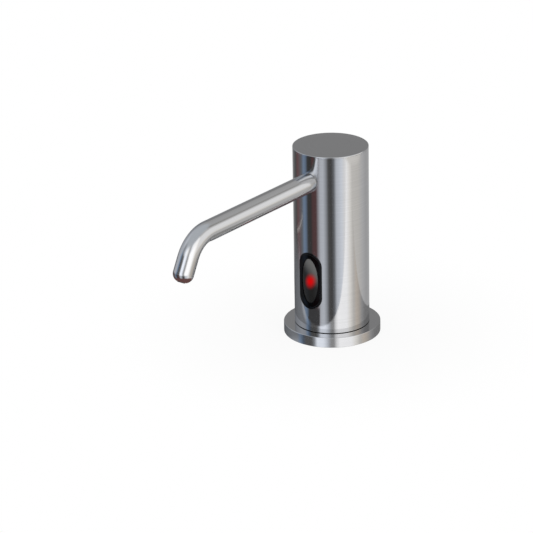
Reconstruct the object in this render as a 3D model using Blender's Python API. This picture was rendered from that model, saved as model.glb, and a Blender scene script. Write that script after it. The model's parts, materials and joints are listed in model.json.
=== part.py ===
"""Deck-mounted automatic soap dispenser, modelled at its real size.

Frame: +Z is up, the origin is on the body's axis in the plane of the deck, and the spout points along -Y.
Above the deck stand the flange, the body tube with its cap, the spout and the sensor window. Inside the tube
are the sensor module, a gear pump with its motor, and the hoses. Below the deck hang the threaded shank, its
washers and its nut.
"""

import math

import bmesh
import bpy
from mathutils import Matrix, Vector

MM = 0.001

# Fits between pieces
SEAT_GAP = 0.3 * MM
FIT_GAP = 0.15 * MM
CUT_OVERRUN = 4.0 * MM
WELD_DISTANCE = 0.001 * MM
SHARP_ANGLE = math.radians(30.0)

# Facets round a circle
LARGE_SEGMENTS = 40
MEDIUM_SEGMENTS = 20
SMALL_SEGMENTS = 10
CORNER_STEPS = 3
RING_SIDES = 5
HOSE_SIDES = 6
SPOUT_SIDES = 20
SPOUT_BEND_STEPS = 8
SPOUT_NOSE_STEPS = 5
SCREW_KEY_DEPTH_SHARE = 0.55
DOME_STEPS = 3
SPRING_SIDES = 4
SPRING_STEPS = 9
BAND_STEPS = 6
HOSE_STEPS = 3
LEAD_STEPS = 3

# Body tube and its cap
BODY_DIAMETER = 48.0 * MM
BODY_WALL = 1.5 * MM
TOTAL_HEIGHT = 125.4 * MM
CAP_RIM_THICKNESS = 0.9 * MM
CAP_CHAMFER = 0.4 * MM
CAP_PLATE_THICKNESS = 2.6 * MM
CAP_SPIGOT_LENGTH = 6.4 * MM
CAP_SPIGOT_WALL = 2.4 * MM
CAP_RING_SECTION = 1.5 * MM
CAP_RING_GROOVE_DEPTH = 1.6 * MM
CAP_RING_GROOVE_WIDTH = 2.2 * MM

# Flange on the deck
FLANGE_DIAMETER = 62.1 * MM
FLANGE_THICKNESS = 6.7 * MM
FLANGE_CHAMFER = 0.5 * MM
FLANGE_FOOT_CHAMFER = 0.25 * MM
GASKET_RECESS_DEPTH = 1.5 * MM
GASKET_RECESS_WIDTH = 8.0 * MM
GASKET_RECESS_INSET = 4.0 * MM
BASE_RING_DIAMETER = 36.6 * MM
BASE_RING_SECTION = 1.5 * MM
BASE_RING_GROOVE_WIDTH = 2.4 * MM
BASE_RING_GROOVE_DEPTH = 1.5 * MM

# Base plug and threaded shank
PLUG_HEIGHT = 12.0 * MM
SHANK_DIAMETER = 28.0 * MM
SHANK_BORE = 21.0 * MM
SHANK_LENGTH = 52.0 * MM
SHANK_PLAIN_LENGTH = 4.5 * MM
THREAD_PITCH = 3.0 * MM
THREAD_DEPTH = 1.6 * MM
THREAD_ROOT_WIDTH = 1.7 * MM
THREAD_CREST_WIDTH = 0.7 * MM
THREAD_SINK = 0.4 * MM
THREAD_STEPS = 14
SET_SCREW_DIAMETER = 4.0 * MM
SET_SCREW_LENGTH = 5.0 * MM
SET_SCREW_KEY_WIDTH = 2.0 * MM
SET_SCREW_KEY_DEPTH = 2.0 * MM

# Clamping below the deck
DECK_THICKNESS = 20.0 * MM
CLAMP_WASHER_DIAMETER = 50.0 * MM
DECK_WASHER_THICKNESS = 3.0 * MM
CLAMP_WASHER_THICKNESS = 1.5 * MM
NUT_WIDTH = 38.0 * MM
NUT_THICKNESS = 9.0 * MM

# Plug at the shank's lower end
END_PLUG_DIAMETER = 24.0 * MM
END_PLUG_FLANGE = 2.0 * MM
END_PLUG_DEPTH = 7.0 * MM
SUPPLY_BARB_DIAMETER = 6.0 * MM
SUPPLY_BARB_LENGTH = 11.0 * MM
SUPPLY_BARB_RIDGE = 0.5 * MM
GROMMET_DIAMETER = 5.0 * MM
GROMMET_OFFSET = 6.6 * MM
GROMMET_LIP = 0.7 * MM

# Hoses and leads
HOSE_DIAMETER = 6.0 * MM
HOSE_BORE = 4.0 * MM
BARB_BORE = 2.2 * MM
BARB_LENGTH = 7.0 * MM
LEAD_DIAMETER = 2.4 * MM

# The soap hose above the motor, in shares of the outlet barb's place and of the height up to the spout
SOAP_HOSE_SHARES = ((0.9, 1.5, 0.36), (0.45, 1.55, 0.72), (0.06, 0.2, 0.985))

# Spout
SPOUT_DIAMETER = 12.8 * MM
SPOUT_WALL = 1.1 * MM
SPOUT_BELOW_TOP = 18.1 * MM
SPOUT_STRAIGHT_REACH = 125.1 * MM
SPOUT_BEND_RADIUS = 22.1 * MM
SPOUT_BEND_ANGLE = math.radians(61.5)
SPOUT_END_LENGTH = 14.2 * MM
SPOUT_NOSE_RADIUS = 5.4 * MM
SPOUT_NOSE_THICKNESS = 4.2 * MM
SPOUT_BEND_FLATTENING = 1.5 * MM
OUTLET_DIAMETER = 5.0 * MM
NOZZLE_BORE = 2.6 * MM
NOZZLE_SHOULDER = 1.2 * MM
NOZZLE_SHOULDER_LENGTH = 0.9 * MM
NOZZLE_STANDOUT = 0.4 * MM
NOZZLE_BARB_LENGTH = 4.0 * MM
STUD_DIAMETER = 10.0 * MM
STUD_BORE = 7.2 * MM
STUD_LENGTH = 32.0 * MM
SPOUT_NUT_WIDTH = 15.0 * MM
SPOUT_NUT_THICKNESS = 5.0 * MM
SPOUT_WASHER_DIAMETER = 17.0 * MM
SPOUT_SEAL_THICKNESS = 1.2 * MM
SPOUT_WASHER_THICKNESS = 2.6 * MM
STUD_STANDOUT = 1.4 * MM

# Sensor window in the body's front
WINDOW_ABOVE_FLANGE = 34.5 * MM
BEZEL_WIDTH = 17.4 * MM
BEZEL_HEIGHT = 38.8 * MM
BEZEL_PROUD = 1.0 * MM
BEZEL_LIP_WIDTH = 1.2 * MM
BEZEL_DEPTH = 5.6 * MM
LENS_WIDTH = 11.4 * MM
LENS_HEIGHT = 30.0 * MM
LENS_BELOW_BEZEL = 0.5 * MM
LENS_LEDGE_WIDTH = 0.7 * MM
LENS_LEDGE_THICKNESS = 1.4 * MM
SHELL_WALL = 2.0 * MM
SHELL_BACK_WALL = 1.3 * MM
SENSOR_GASKET_THICKNESS = 1.2 * MM
CHIP_SPACE = 2.1 * MM
BOARD_THICKNESS = 1.2 * MM
OPTICS_THICKNESS = 5.2 * MM
DIODE_DIAMETER = 3.0 * MM
DIODE_LENGTH = 5.0 * MM
DIODE_RIM = 0.3 * MM
DIODE_FOOT_HEIGHT = 0.9 * MM
DIODE_SPACING = 10.0 * MM
CHIP_SIZE = 5.0 * MM
CHIP_THICKNESS = 1.0 * MM
CHIP_CORNER = 0.3 * MM
SENSOR_SCREW_DIAMETER = 1.6 * MM
SENSOR_SCREW_HEAD = 3.0 * MM
SENSOR_SCREW_HEAD_THICKNESS = 1.1 * MM
SENSOR_SCREW_KEY = 1.3 * MM
SENSOR_SCREW_ENGAGEMENT = 2.2 * MM
SENSOR_SCREW_X = 5.2 * MM
SENSOR_SCREW_Z = 12.6 * MM
LEAD_HOLE_Z = 11.5 * MM

# Gear pump
PUMP_OFFSET = 6.0 * MM
GEAR_TEETH = 10
GEAR_MODULE = 1.0 * MM
GEAR_PRESSURE_ANGLE = math.radians(20.0)
GEAR_ADDENDUM_SHARE = 0.8
GEAR_DEDENDUM_SHARE = 1.25
GEAR_BACKLASH = 0.3 * MM
GEAR_THICKNESS = 6.0 * MM
GEAR_FLANK_POINTS = 3
CHAMBER_CLEARANCE = 0.25 * MM
PORT_WIDTH = 3.6 * MM
PUMP_HALF_WIDTH = 14.0 * MM
PUMP_HALF_DEPTH = 8.8 * MM
PUMP_CORNER_RADIUS = 3.0 * MM
PUMP_COVER_THICKNESS = 3.0 * MM
PUMP_ROOF_THICKNESS = 6.5 * MM
PUMP_EAR_LENGTH = 5.8 * MM
PUMP_EAR_HALF_DEPTH = 3.4 * MM
PUMP_SCREW_DIAMETER = 2.5 * MM
PUMP_SCREW_HEAD = 4.2 * MM
PUMP_SCREW_HEAD_THICKNESS = 1.6 * MM
PUMP_SCREW_EDGE = 2.5 * MM
PUMP_SCREW_KEY = 2.0 * MM
PUMP_SCREW_ENGAGEMENT = 6.0 * MM
PUMP_CHANNEL_DIAMETER = 2.2 * MM
PIN_SEAT_DEPTH = 2.2 * MM
SHAFT_DIAMETER = 2.0 * MM
SHAFT_CLEARANCE = 0.06 * MM
SEAL_DIAMETER = 7.0 * MM
SEAL_THICKNESS = 2.6 * MM
OUTLET_BARB_DIAMETER = 4.6 * MM
OUTLET_BARB_DEPTH = 1.6 * MM
OUTLET_BARB_X = 10.4 * MM

# Check valve below the pump
VALVE_SOCKET_DIAMETER = 10.0 * MM
VALVE_CHAMBER_DIAMETER = 6.2 * MM
VALVE_SOCKET_LENGTH = 14.0 * MM
VALVE_BALL_DIAMETER = 4.4 * MM
VALVE_SEAT_DEPTH = 3.0 * MM
VALVE_SEAT_FLANGE = 1.5 * MM
SPRING_WIRE = 0.4 * MM
SPRING_DIAMETER = 4.0 * MM
SPRING_TURNS = 5
VALVE_MOUTH_SHARE = 0.91

# Motor
MOTOR_DIAMETER = 20.0 * MM
MOTOR_FLAT_WIDTH = 15.0 * MM
MOTOR_LENGTH = 25.0 * MM
MOTOR_WALL = 0.7 * MM
MOTOR_BOSS_DIAMETER = 6.0 * MM
MOTOR_BOSS_HEIGHT = 1.5 * MM
END_CAP_THICKNESS = 2.5 * MM
MAGNET_THICKNESS = 1.7 * MM
MAGNET_HEIGHT = 14.0 * MM
MAGNET_SPREAD = math.radians(84.0)
ARMATURE_DIAMETER = 12.0 * MM
ARMATURE_HEIGHT = 12.0 * MM
ARMATURE_HUB = 5.0 * MM
ARMATURE_NECK = 2.6 * MM
ARMATURE_HEAD_THICKNESS = 1.8 * MM
ARMATURE_POLES = 3
ARMATURE_POLE_SPREAD = math.radians(92.0)
COMMUTATOR_DIAMETER = 5.0 * MM
COMMUTATOR_HEIGHT = 3.0 * MM
SHAFT_END = 1.5 * MM

# Worked out from the sizes above
body_radius = BODY_DIAMETER / 2
bore_radius = body_radius - BODY_WALL
flange_radius = FLANGE_DIAMETER / 2
shank_radius = SHANK_DIAMETER / 2
shank_core_radius = shank_radius - THREAD_DEPTH
spout_radius = SPOUT_DIAMETER / 2
cap_rim_low = TOTAL_HEIGHT - CAP_RIM_THICKNESS
cap_seat = cap_rim_low - SEAT_GAP
spout_bore_radius = spout_radius - SPOUT_WALL
spout_height = TOTAL_HEIGHT - SPOUT_BELOW_TOP
window_height = FLANGE_THICKNESS + WINDOW_ABOVE_FLANGE
plug_bottom = FLANGE_THICKNESS + SEAT_GAP
plug_top = plug_bottom + PLUG_HEIGHT
plug_radius = bore_radius - SEAT_GAP
hose_radius = HOSE_DIAMETER / 2
barb_radius = HOSE_BORE / 2 - SEAT_GAP
lead_radius = LEAD_DIAMETER / 2

shank_bottom = -SHANK_LENGTH
gear_pitch_radius = GEAR_TEETH * GEAR_MODULE / 2
gear_base_radius = gear_pitch_radius * math.cos(GEAR_PRESSURE_ANGLE)
gear_tip_radius = gear_pitch_radius + GEAR_ADDENDUM_SHARE * GEAR_MODULE
gear_root_radius = gear_pitch_radius - GEAR_DEDENDUM_SHARE * GEAR_MODULE
chamber_radius = gear_tip_radius + CHAMBER_CLEARANCE
port_offset = math.sqrt(chamber_radius**2 - gear_pitch_radius**2) + PORT_WIDTH / 4
inlet_y = PUMP_OFFSET - port_offset
outlet_y = PUMP_OFFSET + port_offset
drive_axis = (-gear_pitch_radius, PUMP_OFFSET)
driven_axis = (gear_pitch_radius, PUMP_OFFSET)
shaft_radius = SHAFT_DIAMETER / 2
cover_bottom = plug_top + SEAT_GAP
cover_top = cover_bottom + PUMP_COVER_THICKNESS
pump_bottom = cover_top + FIT_GAP
gear_bottom = cover_top + CHAMBER_CLEARANCE
gear_top = gear_bottom + GEAR_THICKNESS
chamber_top = gear_top + CHAMBER_CLEARANCE
pump_top = chamber_top + PUMP_ROOF_THICKNESS
seal_pocket_bottom = pump_top - MOTOR_BOSS_HEIGHT - SEAL_THICKNESS - 2 * SEAT_GAP
channel_height = pump_top - OUTLET_BARB_DEPTH - PUMP_CHANNEL_DIAMETER / 2
valve_bottom = cover_bottom - VALVE_SOCKET_LENGTH
valve_seat_top = valve_bottom + VALVE_SEAT_DEPTH
supply_barb_bottom = valve_bottom - SEAT_GAP - VALVE_SEAT_FLANGE - BARB_LENGTH
motor_bottom = pump_top + SEAT_GAP
motor_top = motor_bottom + MOTOR_LENGTH
end_cap_bottom = motor_top - END_CAP_THICKNESS
shell_gasket_radius = bore_radius - SEAT_GAP - SENSOR_GASKET_THICKNESS
shell_front_radius = shell_gasket_radius - SEAT_GAP
bezel_seat_radius = body_radius + SEAT_GAP
bezel_radius = bezel_seat_radius - SEAT_GAP + BEZEL_PROUD
neck_width = BEZEL_WIDTH - 2 * BEZEL_LIP_WIDTH
neck_height = BEZEL_HEIGHT - 2 * BEZEL_LIP_WIDTH
neck_back = body_radius - BEZEL_DEPTH
cavity_width = neck_width + 2 * SEAT_GAP
cavity_height = neck_height + 2 * SEAT_GAP
shell_width = cavity_width + 2 * SHELL_WALL
shell_height = cavity_height + 2 * SHELL_WALL
optics_front = neck_back - SEAT_GAP
optics_back = optics_front - OPTICS_THICKNESS
board_front = optics_back - SEAT_GAP
board_back = board_front - BOARD_THICKNESS
shell_inside = board_back - CHIP_SPACE
shell_back = shell_inside - SHELL_BACK_WALL
stud_radius = STUD_DIAMETER / 2
spout_seal_radius = bore_radius - SEAT_GAP - SPOUT_SEAL_THICKNESS
spout_washer_radius = spout_seal_radius - SEAT_GAP
spout_washer_back = spout_washer_radius - SPOUT_WASHER_THICKNESS
spout_nut_back = spout_washer_back - SEAT_GAP - SPOUT_NUT_THICKNESS
spout_start = body_radius + SEAT_GAP
nose_radius = OUTLET_DIAMETER / 2 + SPOUT_WALL / 2

ear_screw_x = PUMP_HALF_WIDTH + PUMP_EAR_LENGTH - PUMP_SCREW_EDGE
cover_screw_x = PUMP_HALF_WIDTH - PUMP_SCREW_EDGE
cover_screw_y = PUMP_HALF_DEPTH - PUMP_SCREW_EDGE

# Places of the pump's screws
PUMP_EAR_SCREWS = {
    "pump_mount_screw_right": (ear_screw_x, PUMP_OFFSET),
    "pump_mount_screw_left": (-ear_screw_x, PUMP_OFFSET),
}
PUMP_COVER_SCREWS = {
    "pump_cover_screw_right": (cover_screw_x, PUMP_OFFSET - cover_screw_y),
    "pump_cover_screw_left": (-cover_screw_x, PUMP_OFFSET + cover_screw_y),
}
SENSOR_SCREWS = {
    "sensor_screw_top": (SENSOR_SCREW_X, SENSOR_SCREW_Z),
    "sensor_screw_bottom": (-SENSOR_SCREW_X, -SENSOR_SCREW_Z),
}

# Finishes: colour, metallic, roughness
BRUSHED_STEEL = ((0.56, 0.56, 0.57), 1.0, 0.3)
POLISHED_STEEL = ((0.66, 0.66, 0.68), 1.0, 0.12)
ZINC_STEEL = ((0.62, 0.63, 0.64), 1.0, 0.38)
BRASS = ((0.78, 0.6, 0.3), 1.0, 0.3)
BLACK_GLOSS = ((0.012, 0.012, 0.014), 0.0, 0.1)
BLACK_PLASTIC = ((0.03, 0.03, 0.032), 0.0, 0.45)
DARK_LENS = ((0.05, 0.05, 0.055), 0.0, 0.05)
RUBBER = ((0.025, 0.025, 0.025), 0.0, 0.8)
GREY_PLASTIC = ((0.35, 0.36, 0.37), 0.0, 0.5)
WHITE_PLASTIC = ((0.8, 0.8, 0.78), 0.0, 0.45)
CLEAR_HOSE = ((0.75, 0.77, 0.76), 0.0, 0.3)
CIRCUIT_GREEN = ((0.03, 0.18, 0.07), 0.0, 0.5)
MAGNET_GREY = ((0.09, 0.09, 0.1), 0.2, 0.6)
LAMINATION = ((0.3, 0.27, 0.24), 0.8, 0.5)
COPPER = ((0.8, 0.42, 0.24), 1.0, 0.3)
RED_LIGHT = ((0.8, 0.03, 0.04), 0.0, 0.3)
CLEAR_DIODE = ((0.6, 0.62, 0.7), 0.0, 0.1)

# Toolbox
FACE_FRONT = Matrix.Rotation(math.radians(90.0), 4, "X")
FACE_BACK = Matrix.Rotation(math.radians(-90.0), 4, "X")
SPOUT_PLACE = Matrix.Translation((0, 0, spout_height)) @ FACE_FRONT
WINDOW_PLACE = Matrix.Translation((0, 0, window_height)) @ FACE_FRONT


def material(name, finish):
    """A Principled material. A finish is (colour, metallic, roughness)."""
    colour, metallic, roughness = finish
    made = bpy.data.materials.new(name)
    made.use_nodes = True
    shader = made.node_tree.nodes["Principled BSDF"]
    shader.inputs["Base Color"].default_value = (*colour, 1.0)
    shader.inputs["Metallic"].default_value = metallic
    shader.inputs["Roughness"].default_value = roughness
    return made


def finish_mesh(name, bm, finish, place=None, origin=(0, 0, 0)):
    """Closes the mesh, points its faces outwards and makes its object, whose origin is at the point given."""
    if place is not None:
        bmesh.ops.transform(bm, matrix=place, verts=bm.verts)
    bmesh.ops.translate(bm, verts=bm.verts, vec=-Vector(origin))
    bmesh.ops.remove_doubles(bm, verts=bm.verts, dist=WELD_DISTANCE)
    bmesh.ops.recalc_face_normals(bm, faces=bm.faces)
    mesh = bpy.data.meshes.new(name)
    bm.to_mesh(mesh)
    bm.free()
    mesh.shade_smooth()
    mesh.set_sharp_from_angle(angle=SHARP_ANGLE)
    if finish is not None:
        mesh.materials.append(material(name, finish))
    made = bpy.data.objects.new(name, mesh)
    made.location = origin
    bpy.context.scene.collection.objects.link(made)
    return made


def turned(name, profile, finish, segments=LARGE_SEGMENTS, place=None, origin=(0, 0, 0)):
    """A turned piece: a closed outline of (radius, height) spun round Z."""
    bm = bmesh.new()
    corners = [bm.verts.new((radius, 0, height)) for radius, height in profile]
    edges = []
    for first, second in zip(corners, corners[1:] + corners[:1]):
        if first.co.x > 0 or second.co.x > 0:
            edges.append(bm.edges.new((first, second)))
    bmesh.ops.spin(
        bm,
        geom=corners + edges,
        cent=(0, 0, 0),
        axis=(0, 0, 1),
        angle=math.tau,
        steps=segments,
        use_merge=True,
    )
    return finish_mesh(name, bm, finish, place, origin)


def prism(name, outline, low, high, finish, place=None, origin=(0, 0, 0)):
    """A flat outline of (x, y) extruded from low to high."""
    bm = bmesh.new()
    face = bm.faces.new([bm.verts.new((x, y, low)) for x, y in outline])
    grown = bmesh.ops.extrude_face_region(bm, geom=[face])
    raised = [item for item in grown["geom"] if isinstance(item, bmesh.types.BMVert)]
    bmesh.ops.translate(bm, verts=raised, vec=(0, 0, high - low))
    return finish_mesh(name, bm, finish, place, origin)


def rod(name, radius, low, high, finish=None, segments=SMALL_SEGMENTS, place=None, origin=(0, 0, 0)):
    """A plain cylinder along Z."""
    outline = circle(radius, segments)
    return prism(name, outline, low, high, finish, place, origin)


def helper(made):
    """Marks an object as a tool that isn't part of the dispenser."""
    made.hide_render = True
    made.display_type = "WIRE"
    return made


def boolean(piece, tool, operation):
    """Cuts, joins or crops the piece with the tool."""
    helper(tool)
    step = piece.modifiers.new(f"{operation.lower()} {tool.name}", "BOOLEAN")
    step.operation = operation
    step.object = tool
    step.solver = "EXACT"
    return piece


def cut(piece, tool):
    return boolean(piece, tool, "DIFFERENCE")


def join(piece, tool):
    return boolean(piece, tool, "UNION")


def crop(piece, tool):
    return boolean(piece, tool, "INTERSECT")


def around(radius, clearance, segments):
    """The corner radius of a hole whose flats still clear a round of the radius given."""
    return (radius + clearance) / math.cos(math.pi / segments)


def circle(radius, segments, centre=(0, 0)):
    """The outline of a circle."""
    return [
        (
            centre[0] + radius * math.cos(math.tau * step / segments),
            centre[1] + radius * math.sin(math.tau * step / segments),
        )
        for step in range(segments)
    ]


def ellipse(width, height, segments):
    """The outline of an ellipse."""
    return [(x * width / 2, y * height / 2) for x, y in circle(1, segments)]


def stadium(width, height, segments):
    """The outline of an upright slot with round ends."""
    half = segments // 2
    radius = width / 2
    rise = height / 2 - radius
    outline = []
    for end, side in ((0, 1), (1, -1)):
        for step in range(half + 1):
            angle = math.pi * (end + step / half)
            outline.append((radius * math.cos(angle), side * rise + radius * math.sin(angle)))
    return outline


def rounded_box(half_width, half_depth, corner, centre=(0, 0)):
    """The outline of a rectangle with round corners."""
    outline = []
    for quarter, (side_x, side_y) in enumerate(((1, 1), (-1, 1), (-1, -1), (1, -1))):
        for step in range(CORNER_STEPS + 1):
            angle = math.pi / 2 * (quarter + step / CORNER_STEPS)
            outline.append(
                (
                    centre[0] + side_x * (half_width - corner) + corner * math.cos(angle),
                    centre[1] + side_y * (half_depth - corner) + corner * math.sin(angle),
                )
            )
    return outline


def flattened_circle(radius, half_flat, segments):
    """The outline of a circle with two flats, square to Y."""
    steps = segments // 2
    half_arc = math.asin(half_flat / radius)
    angles = [side + half_arc * (2 * step / steps - 1) for side in (0, math.pi) for step in range(steps + 1)]
    return [(radius * math.cos(angle), radius * math.sin(angle)) for angle in angles]


def hexagon(width):
    """The outline of a hexagon of the given width across its flats."""
    return circle(width / 2 / math.cos(math.pi / 6), 6)


def swept(name, stations, sides, finish):
    """A tube along a route. A station is (centre, tangent, outer radius, bore radius, squeeze), where squeeze
    takes that much off the side that faces the inside of the spout's bend."""
    bm = bmesh.new()
    side = Vector((1, 0, 0))
    loops = []
    for centre, tangent, outer, bore, squeeze in stations:
        side = (side - tangent * side.dot(tangent)).normalized()
        inward = tangent.cross(side)
        pair = []
        for radius in (outer, bore):
            ring = []
            for step in range(sides):
                angle = math.tau * step / sides
                depth = radius - squeeze if math.sin(angle) > 0 else radius
                point = centre + side * radius * math.cos(angle) + inward * depth * math.sin(angle)
                ring.append(bm.verts.new(point))
            pair.append(ring)
        loops.append(pair)

    def skin(first, second):
        for step in range(sides):
            after = (step + 1) % sides
            bm.faces.new((first[step], first[after], second[after], second[step]))

    for (outer_a, bore_a), (outer_b, bore_b) in zip(loops, loops[1:]):
        skin(outer_a, outer_b)
        skin(bore_b, bore_a)
    skin(loops[0][1], loops[0][0])
    skin(loops[-1][0], loops[-1][1])
    return finish_mesh(name, bm, finish)


def smooth_route(points, steps):
    """A smooth curve through the points, with the given number of steps between each two."""
    knots = [Vector(point) for point in points]
    knots = [2 * knots[0] - knots[1]] + knots + [2 * knots[-1] - knots[-2]]
    route = []
    for before, start, end, after in zip(knots, knots[1:], knots[2:], knots[3:]):
        for step in range(steps):
            share = step / steps
            route.append(
                start
                + (end - before) * share / 2
                + (2 * before - 5 * start + 4 * end - after) * share**2 / 2
                + (3 * start - before - 3 * end + after) * share**3 / 2
            )
    route.append(knots[-2])
    return route


def hose(name, route, finish):
    """A hose along the route, open at both ends."""
    stations = []
    for index, centre in enumerate(route):
        ahead = route[min(index + 1, len(route) - 1)]
        behind = route[max(index - 1, 0)]
        stations.append((centre, (ahead - behind).normalized(), hose_radius, HOSE_BORE / 2, 0))
    return swept(name, stations, HOSE_SIDES, finish)


def lead(name, route, finish):
    """A round lead along the route."""
    curve = bpy.data.curves.new(name, "CURVE")
    curve.dimensions = "3D"
    curve.bevel_depth = lead_radius
    curve.bevel_resolution = 2
    curve.use_fill_caps = True
    spline = curve.splines.new("POLY")
    spline.points.add(len(route) - 1)
    for point, place in zip(spline.points, route):
        point.co = (*place, 1)
    curve.materials.append(material(name, finish))
    made = bpy.data.objects.new(name, curve)
    bpy.context.scene.collection.objects.link(made)
    return made


def barb_profile(bore, outer, ridge, low, high):
    """The outline of a hose barb with two ridges, which points down."""
    step = (high - low) / 3
    return [
        (bore, low),
        (outer - ridge, low),
        (outer, low + step),
        (outer - ridge, low + step),
        (outer, low + 2 * step),
        (outer - ridge, low + 2 * step),
        (outer - ridge, high),
        (bore, high),
    ]


def hexagon_socket(name, width, low, high, place):
    """A cutter for a hexagon socket."""
    return prism(name, hexagon(width), low, high, None, place)


def socket_screw(name, diameter, head, head_thickness, length, key_width, finish, place):
    """A screw whose head's underside is at height zero, with its shank above."""
    radius = diameter / 2
    profile = [
        (0, -head_thickness),
        (head / 2, -head_thickness),
        (head / 2, 0),
        (radius, 0),
        (radius, length),
        (0, length),
    ]
    screw = turned(name, profile, finish, SMALL_SEGMENTS, place)
    key_low = -head_thickness - CUT_OVERRUN
    key_high = head_thickness * (SCREW_KEY_DEPTH_SHARE - 1)
    cut(screw, hexagon_socket(f"{name}_key", key_width, key_low, key_high, place))
    return screw


# Base: flange, plug, shank and what clamps them to the deck
def build_flange():
    bore = shank_radius + SEAT_GAP
    recess_outer = flange_radius - GASKET_RECESS_INSET
    recess_inner = recess_outer - GASKET_RECESS_WIDTH
    ring_radius = BASE_RING_DIAMETER / 2
    groove_outer = ring_radius + BASE_RING_GROOVE_WIDTH / 2
    groove_inner = ring_radius - BASE_RING_GROOVE_WIDTH / 2
    turned(
        "base_flange",
        [
            (bore, 0),
            (recess_inner, 0),
            (recess_inner, GASKET_RECESS_DEPTH),
            (recess_outer, GASKET_RECESS_DEPTH),
            (recess_outer, 0),
            (flange_radius - FLANGE_FOOT_CHAMFER, 0),
            (flange_radius, FLANGE_FOOT_CHAMFER),
            (flange_radius, FLANGE_THICKNESS - FLANGE_CHAMFER),
            (flange_radius - FLANGE_CHAMFER, FLANGE_THICKNESS),
            (groove_outer, FLANGE_THICKNESS),
            (groove_outer, FLANGE_THICKNESS - BASE_RING_GROOVE_DEPTH),
            (groove_inner, FLANGE_THICKNESS - BASE_RING_GROOVE_DEPTH),
            (groove_inner, FLANGE_THICKNESS),
            (bore, FLANGE_THICKNESS),
        ],
        BRUSHED_STEEL,
    )
    gasket_top = GASKET_RECESS_DEPTH - SEAT_GAP
    turned(
        "flange_gasket",
        [
            (recess_inner + SEAT_GAP, 0),
            (recess_outer - SEAT_GAP, 0),
            (recess_outer - SEAT_GAP, gasket_top),
            (recess_inner + SEAT_GAP, gasket_top),
        ],
        RUBBER,
    )
    ring_height = FLANGE_THICKNESS + (SEAT_GAP - BASE_RING_GROOVE_DEPTH) / 2
    seal_ring("base_ring", ring_radius, BASE_RING_SECTION, ring_height)


def seal_ring(name, radius, section, height):
    """A round rubber ring."""
    profile = circle(section / 2, RING_SIDES, (radius, height))
    turned(name, profile, RUBBER, MEDIUM_SEGMENTS)


def build_plug_and_shank():
    plug = turned(
        "base_plug",
        [
            (shank_radius + SEAT_GAP, plug_bottom),
            (plug_radius, plug_bottom),
            (plug_radius, plug_top),
            (shank_radius + SEAT_GAP, plug_top),
        ],
        BRASS,
    )
    screw_radius = SET_SCREW_DIAMETER / 2
    screw_height = (plug_bottom + plug_top) / 2
    screw_place = Matrix.Translation((0, 0, screw_height)) @ FACE_BACK
    screw_outside = body_radius - SEAT_GAP
    screw_inside = screw_outside - SET_SCREW_LENGTH
    hole = around(screw_radius, SEAT_GAP, SMALL_SEGMENTS)
    outside = body_radius + CUT_OVERRUN
    cut(plug, rod("set_screw_hole", hole, screw_inside - SEAT_GAP, outside, place=screw_place))
    for name, (x, y) in PUMP_EAR_SCREWS.items():
        hole = around(PUMP_SCREW_DIAMETER / 2, FIT_GAP, SMALL_SEGMENTS)
        place = Matrix.Translation((x, y, 0))
        depth = cover_top - PUMP_SCREW_HEAD_THICKNESS - PUMP_COVER_THICKNESS - PUMP_SCREW_ENGAGEMENT
        cut(plug, rod(f"{name}_hole", hole, depth, plug_top + CUT_OVERRUN, place=place))

    screw = rod("set_screw", screw_radius, screw_inside, screw_outside, ZINC_STEEL, place=screw_place)
    key_low = screw_outside - SET_SCREW_KEY_DEPTH
    cut(screw, hexagon_socket("set_screw_key", SET_SCREW_KEY_WIDTH, key_low, body_radius, screw_place))

    shank = turned(
        "threaded_shank",
        [
            (SHANK_BORE / 2, shank_bottom),
            (shank_core_radius, shank_bottom),
            (shank_core_radius, -SHANK_PLAIN_LENGTH),
            (shank_radius, -SHANK_PLAIN_LENGTH),
            (shank_radius, plug_top),
            (SHANK_BORE / 2, plug_top),
        ],
        BRASS,
        THREAD_STEPS,
    )
    join(shank, thread_ridge())


def thread_ridge():
    """The helical ridge of the shank's thread, sunk a little into its core."""
    bm = bmesh.new()
    turns = int((SHANK_LENGTH - SHANK_PLAIN_LENGTH) / THREAD_PITCH) - 1
    start = shank_bottom + THREAD_PITCH / 2
    root = shank_core_radius - THREAD_SINK
    section = [
        (root, -THREAD_ROOT_WIDTH / 2),
        (shank_radius, -THREAD_CREST_WIDTH / 2),
        (shank_radius, THREAD_CREST_WIDTH / 2),
        (root, THREAD_ROOT_WIDTH / 2),
    ]
    rings = []
    for step in range(turns * THREAD_STEPS + 1):
        angle = math.tau * step / THREAD_STEPS
        rise = start + THREAD_PITCH * step / THREAD_STEPS
        rings.append(
            [
                bm.verts.new((radius * math.cos(angle), radius * math.sin(angle), rise + height))
                for radius, height in section
            ]
        )
    for first, second in zip(rings, rings[1:]):
        for index in range(len(section)):
            after = (index + 1) % len(section)
            bm.faces.new((first[index], first[after], second[after], second[index]))
    bm.faces.new(rings[0])
    bm.faces.new(reversed(rings[-1]))
    return finish_mesh("thread_ridge", bm, None)


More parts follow.
